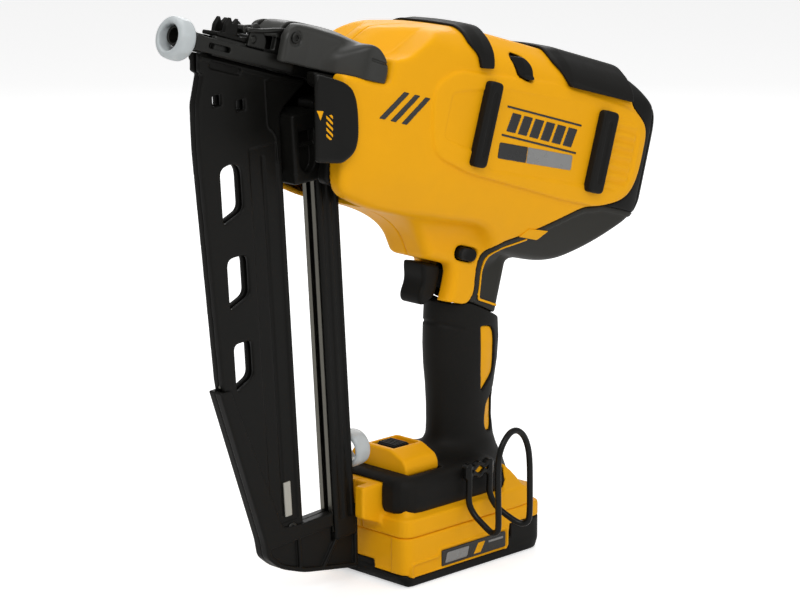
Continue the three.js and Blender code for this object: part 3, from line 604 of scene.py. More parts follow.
moulded("motor_cover", DRIVE, (258, -52, -120), (380, 52, -36), BODY_STEP, motor_cover, COVER_GREY)


def printed(name, outline, u0, u1, w0, w1, look, form=body_form, h=0.5, proud=0.35, inner=20):
    """Thin printed or inlaid pieces that follow the housing, one on each side; outline takes (u, w)."""
    for side, side_name in SIDES:
        def field(p):
            u, y, w = p.T
            skin = form(p)
            return both(outline(u, w), skin - proud, -skin - 0.6, inner - side * y, k=0.12)

        y0, y1 = sorted((side * (inner + 2), side * 50))
        added(f"{name}_{side_name}", DRIVE, (u0, y0, w0), (u1, y1, w1), h, field, look)


# Printed field in the side recess: two rules, a row of plain slanted blocks, and a plate in two greys.
for k, w_line in enumerate((5.1, -11.9)):
    printed(f"printed_rule_{k}",
            lambda u, w: np.maximum(between(u, 228.8, 297.6), abs(w - w_line) - 0.6),
            228, 299, w_line - 2, w_line + 2, LABEL_BLACK, h=0.4)


def blocks(u, w):
    lean = u - 0.22 * (w + 3)
    cell = (lean - 232.5) % 10.4
    return both(between(cell, 0.9, 8.9), between(lean, 232.5, 294.9), between(w, -9.2, 2.3), k=0.3)


def bars(u, w):
    lean = u - 0.8 * w
    return both(abs((lean - 152.5) % 8.4 - 4.2) - 2.1, between(w, -19.5, -1.5),
                between(lean, 144.1, 169.3), k=0.3)


printed("printed_blocks", blocks, 229, 298, -11, 4, LABEL_BLACK)
PLATE_DARK = Flat([(228.4, -16.4, 1.5), (253.5, -15.3), (254.5, -24.8), (229.2, -26, 1.5)], step=0.25)
PLATE_PALE = Flat([(254.1, -15.3), (295, -13.7, 1.5), (295.9, -22.8, 1.5), (255.1, -24.8)], step=0.25)
printed("printed_plate_dark", PLATE_DARK, 227, 256, -28, -13, LABEL_BLACK)
printed("printed_plate_pale", PLATE_PALE, 252, 298, -27, -12, LABEL_GREY)
# Three slanted bars on the front flank.
printed("printed_bars", bars, 128, 170, -21, 0, LABEL_BLACK)
# Yellow pinstripe inside the cover's edge band, ending in a small yellow parallelogram.
PENNANT = Flat([(274.5, -68.5, 0.6), (279, -62.5, 0.6), (296, -61.4, 0.6), (290.5, -68.2, 0.6)], step=0.25)
STRIPE_FOOT = Flat([(265.6, -106), (266.8, -106), (267.6, -109.6, 1), (284, -111.2), (284, -112.4),
                    (266.8, -110.8, 1)], step=0.2)


def pinstripe(u, w):
    band = both(abs(YELLOW_REGION(u, w) - EDGE_BAND - 0.9) - 0.6, between(w, -108, -62), u - 283, k=0.2)
    return np.minimum(band, STRIPE_FOOT(u, w) - 0.1)


printed("cover_pinstripe", pinstripe, 262, 286, -114, -60, YELLOW, form=with_neck, proud=0.2, inner=8)
printed("cover_pennant", PENNANT, 267, 297, -72, -59, YELLOW, form=with_neck, proud=0.6)


def strap(outline, rise, ridge):
    """Rubber strap over the housing's top; it is thinner in front of its ridge."""
    def field(p):
        u, _, w = p.T
        outer = body_form(p)
        thick = rise - 0.22 * np.clip(ridge - u, 0, 7)
        d = smax(both(outer - thick, outline(u, w), k=0.9), outer - rise, 0.5)
        return cut(d, outer - 0.3, 0.3)

    return field


FRONT_STRAP = Flat([(192.5, 70), (213, 70), (212.4, 45), (211.8, 24.2, 1.2), (201.5, 22.8, 1.2),
                    (199.5, 29.8, 2), (192.5, 36, 2)], step=0.25)
REAR_STRAP = Flat([(272, 70), (271.5, 38.5, 1.5), (276, 34.5, 2), (282.5, 26.2, 1.5), (343, 27.3, 1),
                   (344, 70)], step=0.25)
moulded("top_strap_front", DRIVE, (188, -52, 18), (218, 52, 54), 0.8, strap(FRONT_STRAP, 3.2, 203), RUBBER)
moulded("top_strap_rear", DRIVE, (268, -52, 22), (348, 52, 54), 0.9, strap(REAR_STRAP, 3.4, 284), RUBBER)

BARS = {"front": (205.5, 217.0, -34.0, 17.0), "rear": (311.0, 325.0, -33.0, 18.0)}
for place, (u0, u1, w0, w1) in BARS.items():
    shape = Flat([(u0 - 0.5, w0, 3.5), (u1 - 0.5, w0, 3.5), (u1 + 0.5, w1, 3.5), (u0 + 0.5, w1, 3.5)])
    for side, side_name in SIDES:
        def bar(p):
            u, y, w = p.T
            d = both(shape(u, w), between(side * y, HALF - 2.5, HALF + 3.9), k=2.2)
            dish = np.hypot(np.maximum(between(w, w0 + 8, w1 - 8), 0), u - (u0 + u1) / 2) - 1.6
            return cut(d, both(dish, HALF + 3.4 - side * y, k=0.5), 0.8)

        y0, y1 = sorted((side * 42, side * 51))
        moulded(f"side_bar_{place}_{side_name}", DRIVE, (u0 - 2, y0, w0 - 2), (u1 + 2, y1, w1 + 2), 0.7,
                bar, RUBBER)


# ---- grip, tool frame
GRIP_X, GRIP_STRETCH = 29.0, 1.45
GRIP_Z = np.array([56, 64, 72, 84, 95, 108, 120, 133, 145, 156, 170.0])
GRIP_R = np.array([20.5, 18.2, 16.9, 16.2, 16.3, 17.3, 18.4, 18.9, 18.6, 18.1, 18.0])
GRIP_SHIFT = np.array([0, 0, -0.4, -1.0, -1.0, -0.2, 0.2, 0.4, 0.2, 0, 0.0])
TO_DRIVE = np.linalg.inv(DRIVE)
FOOT_PLAN = Flat(mirrored([(-55, -36, 17), (59, -36, 17)]))


def rear_slope(p):
    """Distance to the slope of the foot's rear corners."""
    x, y, z = p.T
    return (x + z - 92 - 20 * np.clip(1 - abs(y) / 24, 0, 1)) * 0.7


def foot_collar(p):
    """Rubber that spreads from the grip over the foot."""
    x, y, z = p.T
    return both(FOOT_PLAN(x, y), rear_slope(p), between(z, 42.3, 66.5), k=9.0)


def grip_column(p):
    x, y, z = p.T
    r = np.interp(z, GRIP_Z, GRIP_R)
    a, b = (x - GRIP_X - np.interp(z, GRIP_Z, GRIP_SHIFT)) / GRIP_STRETCH, y
    return (np.hypot(a, b) - r) * 0.85


SLEEVE_TOP = Flat([(196, -250), (205, -124.5), (232, -124.5, 3), (233.5, -117, 2), (255, -115.3, 2),
                   (259, -113.6, 2), (263, -113.6), (300, -119.2), (330, -250)], margin=30)
INSETS = [
    Flat([(28, 144.5, 2), (38, 143, 3), (41.5, 138, 3), (42.5, 113, 3), (30.5, 102.5, 1.5), (28.5, 120)]),
    Flat([(52, 105.5, 0.5), (41, 97.5, 2), (36.2, 92.5, 2), (34.6, 82, 2), (36, 76.3, 2), (41.5, 75.3, 2),
          (44, 79, 2), (45.6, 87, 3), (45.3, 96, 2)]),
]


def grip_overmould(p):
    x, y, z = p.T
    q = moved(p, TO_DRIVE)
    column = smax(grip_column(p), between(z, 30, 178), 1.0)
    d = smin(column, foot_collar(p), 12.0)
    sleeve = both(d, SLEEVE_TOP(q[:, 0], q[:, 2]), z - 168, k=0.8)
    d = np.where(z > 90, sleeve, d)
    # seat of the selector pod and of the yellow boss in front
    d = cut(d, box3(p, -42.4, -13.6, -27.4, 27.4, 52, 90, 1.5), 0.5)
    d = cut(d, box3(p, -80, -49, -16.4, 16.4, 30, 62.4, 1.0), 0.8)
    # hollow over the core and the foot
    foot_inner = both(FOOT_PLAN(x, y) + 3.2, rear_slope(p) + 3.4, z - 63.7, k=4.0)
    inner = smin(grip_column(p) + 2.8, foot_inner, 6.0)
    d = cut(d, inner, 0.5)
    # windows for the yellow insets, both sides
    for inset in INSETS:
        d = cut(d, both(inset(x, z), 8 - abs(y), k=0.5), 0.7)
    # shallow groove across the front, near the top
    groove = abs(z - 143 + 0.29 * (x - 20)) - 0.8
    return cut(d, both(groove, x - 16, -(grip_column(p) + 0.5), k=0.5), 0.8)


moulded("grip_overmould", TOOL, (-60, -42, 40), (68, 42, 182), 1.0, grip_overmould, RUBBER)


def grip_core(p):
    x, y, z = p.T
    d = both(grip_column(p) + 1.0, between(z, 60, 160), k=1.0)
    strips = np.minimum(INSETS[0](x, z), INSETS[1](x, z)) + 0.3
    return both(d, strips, -(grip_column(p) + 4.0), 6 - abs(y), k=0.4)


# The yellow insets are the housing halves' own grip, showing through windows in the rubber.
for side, side_name in SIDES:
    y0, y1 = sorted((side * 4, side * 22))
    moulded(f"grip_inset_{side_name}", TOOL, (26, y0, 68), (56, y1, 150), 0.8,
            lambda p: cut(grip_core(p), side * p[:, 1], 0.2), YELLOW, node=f"housing_{side_name}")

# ---- foot, battery
SKIRT_PLAN = Flat(mirrored([(-55, -37, 9), (52, -37, 12), (60, -30, 6)]))
HEEL_PLAN = Flat(mirrored([(20, -36.5), (58, -36.5, 6), (61, -30, 5)]))
BATTERY_PLAN = Flat(mirrored([(-55, -37, 8), (66, -37, 9)]))


def foot(p):
    x, y, z = p.T
    plate = both(SKIRT_PLAN(x, y), between(z, 31.3, 42.0), k=1.6)
    heel = both(HEEL_PLAN(x, y), between(z, 31.3, 61), rear_slope(p) + 0.5, 30 - x, k=1.5)
    d = smin(plate, heel, 2.0)
    d = smin(d, both(SKIRT_PLAN(x, y) + 4.5, between(z, 31.3, 52), rear_slope(p) + 3.0, k=1.0), 6.0)
    boss = both(abs(y) - 16, between(x, -70, -45), between(z, 37 - 0.4 * (x + 55), 62), k=1.6)
    d = smin(d, boss, 3.0)
    collar = smin(foot_collar(p), grip_column(p), 12.0)
    d = np.where(x > 22, smax(d, 0.3 - collar, 0.5), d)
    d = cut(d, box3(p, -90, -60, -9, 9, 0, 110, 0.5), 0.8)
    hollow = both(SKIRT_PLAN(x, y) + 6, between(z, 20, 49.5), k=1.0)
    d = cut(d, hollow, 0.5)
    return cut(d, box3(p, 42, 80, -27, 27, 20, 41.5, 1.0), 0.6)


for side, side_name in SIDES:
    y0, y1 = sorted((0, side * 39))
    moulded(f"foot_{side_name}", TOOL, (-72, y0, 30), (62, y1, 64), 0.9, half(foot, side), YELLOW,
            node=f"housing_{side_name}")

POD_CROWN = Flat(mirrored([(-24, 60), (-24, 69.5, 1.5), (-21.5, 74, 1.5), (-10.5, 79, 2)], axis=0),
                 soften=0.3)


def selector_panel(p):
    x, y, z = p.T
    crown = POD_CROWN(y, z)
    d = both(crown, between(x, -42, -14), 64.3 - z, k=1.8)
    well = both(between(x, -38, -16.5), abs(y) - 9.6, 74.6 - z, k=0.6)
    d = cut(d, well, 0.7)
    # slot that points at the grip, near each end
    notch = both(abs(x + 17.5 - 0.5 * (abs(y) - 22)) - 0.5, abs(y) - 18, -39 - x, k=0.3)
    return cut(d, both(notch, 18 - abs(y), -(crown + 1.0), k=0.3), 0.4)


moulded("selector_panel", TOOL, (-44, -29, 63), (-12, 29, 83), 0.7, selector_panel, YELLOW)


def mode_switch(p):
    x, y, z = p.T
    base = both(between(x, -37.4, -21), abs(y) - 9, between(z, 74.9, 76.2), k=0.5)
    ridge = 78.6 + 0.9 * (0.5 + 0.5 * np.tanh(3 * np.sin((x + 34) * 2 * math.pi / 2.3)))
    knob = both(between(x, -35, -22.5), abs(y) - 7.4, between(z, 75, 79.8), z - ridge, k=0.6)
    return smin(base, knob, 0.5)


moulded("mode_switch", TOOL, (-39, -10, 74), (-20, 10, 81), 0.45, mode_switch, BLACK)


def battery_outline(p):
    x, y, z = p.T
    body = both(BATTERY_PLAN(x, y), between(z, 0, 30.7), k=2.4)
    # the lower edge is drawn in, and the front edge of the base is cut at a slant
    lower = BATTERY_PLAN(x, y) + np.clip((7 - z) * 0.3, 0, 3)
    body = both(body, lower, (4.6 - (x + 55) - z) * 0.7, k=1.2)
    # upper rear corners fall away beside the latch
    fall = (z - 34.6 + 0.97 * (x - 54.5)) * 0.72
    body = smax(body, smin(fall, 15.5 - abs(y), 1.5), 1.2)
    # the middle of the front stands back from its two corner pillars
    return cut(body, both(abs(y) - 24, x + 53.9, 9 - z, k=1.0), 0.8)


LABEL = Flat([(-50, 6.4, 3), (33, 6.4, 3), (33, 19.4, 2), (-25.5, 19.4, 1), (-27, 15, 1), (-50, 14.6, 3)],
             step=0.25)


def split_height(x, y):
    """Height of the joint between the yellow and the black battery shells: it steps up at the rear, and in
    the middle of the front."""
    front = np.clip((-50 - x) / 1.5, 0, 1)
    middle = np.clip((10 - abs(y)) / 1.5, 0, 1)
    return 6.2 + front * (1.6 + 5 * middle) + 15.0 * np.clip((x - 34) / 1.6, 0, 1)


def battery_case_top(p):
    x, y, z = p.T
    outer = battery_outline(p)
    rails = both(abs(y) - 20, between(x, -48, 50), between(z, 27, 38), k=1.0)
    step = both(abs(y) - 26, between(x, 50, 65), between(z, 27, 40), k=1.5)
    d = smin(smin(outer, rails, 1.5), step, 1.5)
    d = smax(d, split_height(x, y) + 0.2 - z, 0.6)
    d = cut(d, both(outer + 2.4, z - 28, k=0.5), 0.4)
    for yc in (-9, -3, 3, 9):
        d = cut(d, both(abs(y - yc) - 1.2, x - 8, 32.5 - z, k=0.2), 0.4)
    d = cut(d, box3(p, 56.7, 72, -13.3, 13.3, 22, 50, 0.6), 0.4)
    # a rim round the rating plate's field
    rim = both(abs(LABEL(x, z)) - 0.7, between(abs(y), 35, 37.7), k=0.4)
    return smin(d, smax(rim, split_height(x, y) + 0.2 - z, 0.3), 0.4)


def battery_case_bottom(p):
    x, y, z = p.T
    outer = battery_outline(p)
    d = smax(outer, z - split_height(x, y) + 0.2, 0.6)
    d = cut(d, both(outer + 2.4, 2 - z, k=0.5), 0.4)
    grooves = both(abs(abs(x + 20) % 16 - 8) - 0.9, abs(y) - 30, z - 0.8, k=0.4)
    return cut(d, grooves, 0.4)


moulded("battery_case_top", TOOL, (-57, -39, 4), (68, 39, 41), 1.0, battery_case_top, YELLOW)
moulded("battery_case_bottom", TOOL, (-57, -39, -1), (68, 39, 26), 1.0, battery_case_bottom, BLACK)

# Rating plate: a plain dark plate with a grey block, a yellow bar and a grey line on it.
RATING_PLATE = {
    "rating_plate": ([(-24.5, 7.9, 1), (31.4, 7.9, 1.5), (31.4, 17.9, 1.5), (-24.5, 17.9, 1)], 37.3,
                     LABEL_BLACK),
    "rating_plate_block": ([(-22, 9.5, 1), (-3, 9.5, 1), (-1, 15.8, 1), (-20, 15.8, 1)], 37.6, LABEL_GREY),
    "rating_plate_bars": ([(3, 9.5), (9, 9.5), (13, 15.8), (7, 15.8)], 37.6, YELLOW),
    "rating_plate_lines": ([(16, 13.8), (29, 13.8), (29, 15.2), (16, 15.2)], 37.6, LABEL_GREY),
}
for side, side_name in SIDES:
    for piece, (points, reach, look) in RATING_PLATE.items():
        outline = Flat(points, step=0.25)
        y0, y1 = sorted((side * 36.3, side * reach))
        added(f"{piece}_{side_name}", TOOL, (-27, y0, 6), (34, y1, 19), 0.42,
              lambda p: both(outline(p[:, 0], p[:, 2]), between(p[:, 1], y0, y1), k=0.1), look, "battery")


def battery_latch(p):
    x, y, z = p.T
    d = both(between(x, 57.2, 64.5), abs(y) - 12.7, between(z, 25.5, 37), k=1.2)
    grooves = both(abs((y + 12) % 4 - 2) - 0.6, 63.6 - x, k=0.3)
    return cut(d, grooves, 0.4)


moulded("battery_latch", TOOL, (55, -14, 24), (66, 14, 38), 0.6, battery_latch, BLACK)

# ---- belt hook, tool frame
HOOK_PLACE, HOOK_R = (1.2, 0, 1.0), 1.9


def belt_hook(p):
    near, far = -40.5, -62.0
    path = [
        (-6, near, 65), (-6, near, 52), (-5.8, near, 43), (-5, near - 3.5, 36.5), (-4.2, near - 10, 31.5),
        (-3.6, far + 5, 27.8), (-3.2, far + 1, 29), (-3, far, 34), (-3.4, far, 50), (-3.6, far, 68),
        (-2.4, far, 77.5), (1.5, far, 84.5), (7, far, 88.8), (12.5, far, 89), (18, far, 85.2), (22, far, 78),
        (24, far, 68), (24.6, far, 50), (24.4, far, 34), (23, far + 1, 29.3), (20.5, far + 5, 28.6),
        (16.5, near - 10, 33), (13.6, near - 3.5, 38.5), (12.2, near, 46), (12, near, 54), (12, near, 65),
    ]
    wire = capsule_path(p, spline(path, 5) + HOOK_PLACE, HOOK_R)
    return smin(wire, hook_clamp(p), 1.0)


def hook_clamp(p, seat=False):
    """Wavy clamp that holds the wire's two ends, or the yellow seat that shows through its opening."""
    x, y, z = p.T
    edge = 1.1 * np.cos((x - 4) * 2 * math.pi / 9)
    plate = both(between(x, -8, 16), between(y, -41.5, -37), between(z, 59.5 - edge, 67.5 + edge), k=0.8)
    opening = both(between(x, -4.5, 12.5), between(z, 62.2 - edge, 64.8 + edge), k=0.4)
    if seat:
        return both(opening + 0.1, between(y, -39.6, -37.4), k=0.2)
    return cut(plate, opening, 0.4)


moulded("belt_hook", TOOL, (-10, -66, 24), (29, -35, 93), 0.7, belt_hook, HOOK_BLACK)
added("hook_seat", TOOL, (-6, -41, 60), (14, -36, 68), 0.4, lambda p: hook_clamp(p, seat=True), YELLOW)

# ---- trigger group, drive frame
TRIGGER_PIN = (234, -99.5)
TRIGGER = Flat([
    (222.8, -95.3, 1), (236, -94.2, 3), (238.8, -97, 3), (238.8, -113.5, 5), (230.5, -120.3, 2),
    (226.8, -119.6, 2), (224.8, -115, 4), (226.6, -107, 8), (223.4, -99, 3),
], step=0.25, soften=0.4)


def trigger(p):
    u, y, w = p.T
    d = both(TRIGGER(u, w), abs(y) - 9.0, k=2.6)
    stem = box3(p, 236, 242, -4.5, 4.5, -110, -104, 0.5)
    d = smin(d, stem, 0.5)
    bore = both(from_axis(u, w, TRIGGER_PIN) - 2.1, abs(y) - 7.2, k=0.2)
    return cut(d, bore, 0.2)


moulded("trigger", DRIVE, (220, -10, -123), (244, 10, -92), 0.55, trigger, BLACK)


def lock_off_button(p):
    u, y, w = p.T
    d = both(from_axis(u, w, LOCK_OFF, 4) - 3.9, abs(y) - 21, k=1.6)
    dish = np.hypot(from_axis(u, w, LOCK_OFF), abs(y) - 33) - 13.2
    return cut(d, dish, 0.6)


moulded("lock_off_button", DRIVE, (237, -22, -91), (257, 22, -79), 0.55, lock_off_button, BLACK)


def stall_lever(p):
    u, y, w = p.T
    skin = body_form(p)
    knob = both(LEVER(u, w), skin - 1.8 + 0.16 * np.clip(240 - u, 0, 9), -skin - 7.0, y + 26, k=0.8)
    # a flange under the shell fills the opening
    flange = both(LEVER(u, w) - 1.2, skin + SHELL + 2.6, -skin - SHELL - 4.6, y + 26, k=0.5)
    return smin(knob, flange, 0.4)


moulded("stall_lever", DRIVE, (226, -47, 18), (254, -24, 45), 0.5, stall_lever, BLACK)


# ---- nose, drive frame
DEPTH_STUD = (18, -1)  # y and w of the contact trip's threaded stud
LEVER_PIN = (76, 14)  # u and w of the latch lever's pivot
DOOR_PIN = (52.5, 7.9)  # u and w of the nose door's hinge


def no_mar_ring(p, r, centre, half_long=6.0, bore=7.6):
    """Soft ring round the first axis of its frame, drawn in towards its ends, with eight faint flats."""
    a, b, c = (p - np.array(centre)).T
    radius = r - 1.0 + np.cos(np.clip(abs(a) / half_long, 0, 1) * math.pi * 0.5)
    d = both(np.hypot(b, c) - radius, abs(a) - half_long, k=3.5)
    turns = np.arange(8) * math.pi / 4 + 0.2
    flats = np.max([b * math.cos(t) + c * math.sin(t) for t in turns], axis=0) - r * 0.985
    return cut(smax(d, flats, 1.0), np.hypot(b, c) - bore, 1.6)


def no_mar_pad(p):
    d = no_mar_ring(p, 12.3, (5, 0, -1.5))
    d = cut(d, box3(p, 2.7, 14, -6.3, 6.3, -5.8, 5.8, 0.4), 0.5)
    return cut(d, box3(p, 8.7, 14, -9.3, 9.3, -5.8, 4.3, 0.3), 0.4)


moulded("no_mar_pad", DRIVE, (-2, -13, -15), (12, 13, 12), 0.6, no_mar_pad, PALE)


def contact_trip(p):
    u, y, w = p.T
    tube = np.hypot(y / 1.05, w) - 5.6
    sleeve = both(tube, between(u, 3, 16), k=0.6)
    arms = both(between(abs(y), 7.3, 10), between(u, 11, 86), between(w, -5.5, 3), k=0.8)
    bridge = box3(p, 11, 16, -9, 9, -5.5, 4, 0.8)
    ear = box3(p, 71, 75, 9, 21, -3, 1, 0.8)
    stud = rod(p, 0, DEPTH_STUD, 1.5, 73, 93.5, 0.3)
    d = np.minimum(smin(smin(sleeve, bridge, 1.0), arms, 1.0), np.minimum(ear, stud))
    # slot that lightens each arm
    d = cut(d, from_axis(u, w, (29, -1.2), 6.6) - 1.5, 0.5)
    bore = both(np.hypot(y, w) - 4.2, between(u, -5, 9), k=0.3)
    return cut(cut(d, bore, 0.4), box3(p, 0, 20, -3.5, 3.5, -2.5, 3, 0.3), 0.4)


moulded("contact_trip", DRIVE, (2, -11, -7), (95, 22, 7), 0.6, contact_trip, DARK_METAL)


def depth_wheel(p):
    u, y, w = p.T
    off = from_axis(y, w, DEPTH_STUD)
    r = 5.4 + 0.35 * np.cos(12 * np.arctan2(w - DEPTH_STUD[1], y - DEPTH_STUD[0]))
    return smax(both(off - r, between(u, 76, 83), k=0.8), 1.8 - off, 0.2)


moulded("depth_wheel", DRIVE, (75, 12, -7.5), (84, 24, 5.5), 0.4, depth_wheel, BLACK)


FORK = Flat([(34, 5), (33.6, 12, 1), (36, 17, 0.8), (38.5, 13.4, 1), (41.6, 17.4, 0.8), (42.8, 11, 1),
             (42.8, 5)], step=0.2)
EAR = Flat([(49.5, 3.6), (50, 15, 1), (53.5, 17.6, 1.5), (58.5, 14, 2), (63, 9.5, 2), (63, 3.6)], step=0.2)


def nosepiece(p):
    u, y, w = p.T
    bar = both(abs(y) - 7, between(u, 27, 140.5), between(w, -6, 5), k=0.8)
    post = both(abs(y) - 7, between(u, 71, 81), between(w, -6, 17), k=1.5)
    d = smin(bar, post, 1.0)
    d = cut(d, smax(-(w + 2), abs(y) - 3.5, 0.3), 0.4)
    d = cut(d, both(between(u, 108, 150), 2 - w, k=0.3), 0.4)
    # ears each side of the door, with its hinge pin's heads
    ears = both(EAR(u, w), between(abs(y), 6.75, 8.8), k=0.5)
    ledge = both(between(u, 49.5, 63), between(w, 3.6, 4.9), between(abs(y), 5, 8.8), k=0.3)
    heads = both(from_axis(u, w, DOOR_PIN) - 1.9, between(abs(y), 8, 9.5), k=0.3)
    for extra in (ears, ledge, heads):
        d = np.minimum(d, extra)
    return smin(d, rod(p, 1, LEVER_PIN, 2, -15.5, 15.5, 0.4), 0.3)


moulded("nosepiece", DRIVE, (26, -17, -7), (142, 17, 18), 0.7, nosepiece, DARK_METAL)


def nose_door(p):
    u, y, w = p.T
    leaf = both(abs(y) - 6.5, between(u, 28, 50), between(w, 5.3, 7.6), k=0.7)
    rib = both(abs(y) - 2, between(u, 36, 49), between(w, 6, 9.4), k=0.8)
    barrel = rod(p, 1, DOOR_PIN, 2.4, -6.5, 6.5, 0.4)
    tongue = box3(p, 47, 52.5, -6.5, 6.5, 5.6, 8.0, 0.4)
    d = smin(smin(smin(leaf, rib, 1.0), barrel, 1.0), tongue, 0.8)
    for yc in (-4.5, 4.5):
        d = smin(d, both(FORK(u, w), abs(y - yc) - 1.5, k=0.6), 0.6)
    return cut(d, from_axis(u, w, DOOR_PIN) - 1.0, 0.3)


moulded("nose_door", DRIVE, (26, -8, 4), (57, 8, 19), 0.5, nose_door, BLACK)

# The lever is a cap over the nose: a bulky dome, and a wing low on each side for finger and thumb.
DOME_SIDE = Flat([(69, -30), (69, 15, 3), (74, 22.5, 5), (84, 24.6, 10), (104, 25.8), (112, 25.6, 5),
                  (119, 21.5, 4), (122.5, 15, 5), (119, 8, 4), (110, 4, 4), (106, -30)], soften=0.4)
DOME_PLAN = Flat(mirrored([(65, -17, 2), (86, -18.2), (106, -21.5), (114, -25, 5), (125, -27, 6)]),
                 soften=0.6)
WING_SIDE = Flat([(96, -30), (98, 7, 6), (108, 15, 6), (116, 20.5, 6), (123, 19.5, 4), (130, 14.5, 5),
                  (134.5, 7, 4), (133.3, 0.8, 3), (128, -30)], soften=0.4)
WING_PLAN = Flat(mirrored([(90, -16, 4), (103, -22, 8), (114, -35.5, 7), (121, -38.2, 4), (135, -38.2, 6)]),
                 soften=0.6)


def latch_lever(p):
    u, y, w = p.T
    crown = w - (25.8 - 0.012 * y * y)
    dome = both(DOME_SIDE(u, w), DOME_PLAN(u, y), crown, k=3.5)
    wings = both(WING_SIDE(u, w), WING_PLAN(u, y), k=3.2)
    outer = smin(dome, wings, 3.5)
    # a long groove on each wing
    groove = both(abs(w - 11.4 + 0.06 * (u - 125)) - 0.7, between(u, 118, 131), 36 - abs(y), k=0.3)
    skin = cut(outer, both(groove, -outer - 1.0, k=0.2), 0.4)
    # the depth wheel stands beside the lever's right skirt
    low = np.where((y > 8) & (u < 104), 6.5, -0.4) + 0.02 * np.clip(u - 100, 0, 40)
    d = smax(skin, low - w, 0.8)
    d = cut(d, outer + 2.6, 0.4)
    d = cut(d, box3(p, 60, 80, -12.6, 12.6, -12, 12.5, 1.0), 0.6)
    for yc in (-10.5, 10.5):
        d = cut(d, box3(p, 60, 87, yc - 1.7, yc + 1.7, 10, 32, 0.4), 0.5)
    # round seat of the pivot's head, and the bosses behind it
    off = from_axis(u, w, LEVER_PIN)
    d = cut(d, both(off - 4.6, 17.0 - abs(y), k=0.3), 0.5)
    pin_boss = both(off - 4.2, between(abs(y), 12.6, 16.6), k=0.6)
    return cut(smin(d, pin_boss, 0.8), off - 2.4, 0.3)


moulded("latch_lever", DRIVE, (64, -40, -2), (137, 40, 28), 0.75, latch_lever, LEVER_GREY)

for side, side_name in SIDES:
    def screw_head(p):
        u, y, w = p.T
        head = rod(p, 1, LEVER_PIN, 3.2, *sorted((side * 15.8, side * 18.4)), 0.5)
        return cut(head, both(from_axis(u, w, LEVER_PIN) - 1.5, 17.2 - side * y, k=0.2), 0.2)

    y0, y1 = sorted((side * 15, side * 19))
    added(f"latch_pin_head_{side_name}", DRIVE, (72, y0, 10), (80, y1, 18), 0.4, screw_head, DARK_METAL)


def latch_bail(p):
    left = [(83, -10.5, 18.6), (68, -10.5, 16.2), (56, -10.5, 13.5), (49, -9.7, 12.5), (46.8, -6.5, 12.5)]
    path = left + [(u, -y, w) for u, y, w in left[::-1]]
    roller = rod(p, 1, (46.8, 12.5), 2.3, -8, 8, 0.6)
    return smin(capsule_path(p, spline(path, 5), 1.4), roller, 0.4)


moulded("latch_bail", DRIVE, (37, -13, 8), (86, 13, 21), 0.5, latch_bail, DARK_METAL)

CHEEK = Flat([(91, -9, 2), (89, -2, 2), (147, 0.5), (147, -45, 4), (128, -62, 6), (114, -62, 5),
              (108.5, -13, 4)])
BRACKET_FACE = Flat([(-132, 268), (-132, 318, 3), (-106, 312, 3), (-98.5, 303, 7), (-96.3, 291, 8),
                     (-96.3, 276, 6), (-100, 268.5, 5), (-109, 264.5, 3)])


def nose_bracket(p):
    u, y, w = p.T
    q = moved(p, DRIVE)
    cheek = both(CHEEK(u, w), abs(y) - 24.9, k=3.0)
    slant = -(q[:, 0] + abs(y) + 90) * 0.707
    face = both(BRACKET_FACE(q[:, 0], q[:, 2]), abs(y) - 42, w + 2.3 + 0.121 * (u - 80), slant, k=3.0)
    form = body_form(p)
    d = smin(cheek, cut(face, form - 0.3, 0.3), 1.5)
    socket = both(between(u, 90, 145.7), abs(y) - 25, between(w, -100, 30), k=0.1)
    d = cut(d, both(form - 0.3, -socket, k=0.1), 0.2)
    d = cut(d, box3(p, 70, 141, -17, 17, -100, 7, 1.0), 0.6)
    d = cut(d, box3(p, 70, 165, -17, 17, -100, -42, 1.0), 0.6)
    d = cut(d, box3(p, 139, 165, -9.5, 9.5, -6.5, 5, 0.3), 0.4)
    d = cut(d, box3(p, 70, 96.7, 9, 24, -7, 5, 0.6), 0.4)
    return cut(d, rod(p, 0, DEPTH_STUD, 2.2, 88, 108, 0.2), 0.3)


moulded("nose_bracket", DRIVE, (78, -43, -64), (148, 43, 3), 0.9, nose_bracket, BLACK)


def stripes(x, z):
    return both(abs((z + 0.9 * x - 0.6) % 3.4 - 1.7) - 0.85, between(x, -122.6, -117.6),
                between(z, 279.5, 293.5), k=0.1)


# Plain yellow triangle and slanted stripes on the bracket's flank.
FLANK_MARKS = {
    "bracket_triangle": Flat([(-129.6, 297), (-124.6, 296.2), (-127, 291.2)], step=0.2),
    "bracket_stripes": stripes,
}
for name, shape in FLANK_MARKS.items():
    for side, side_name in SIDES:
        y0, y1 = sorted((side * 41.2, side * 42.25))
        added(f"{name}_{side_name}", TOOL, (-132, y0, 278), (-116, y1, 299), 0.35,
              lambda p: both(shape(p[:, 0], p[:, 2]), between(p[:, 1], y0, y1), k=0.1), YELLOW)


# ---- magazine, magazine frame
def slope(m, drop):
    """Height of the magazine's upper edge, which follows the drive axis, less drop."""
    return -math.tan(TILT + LEAN) * m - drop


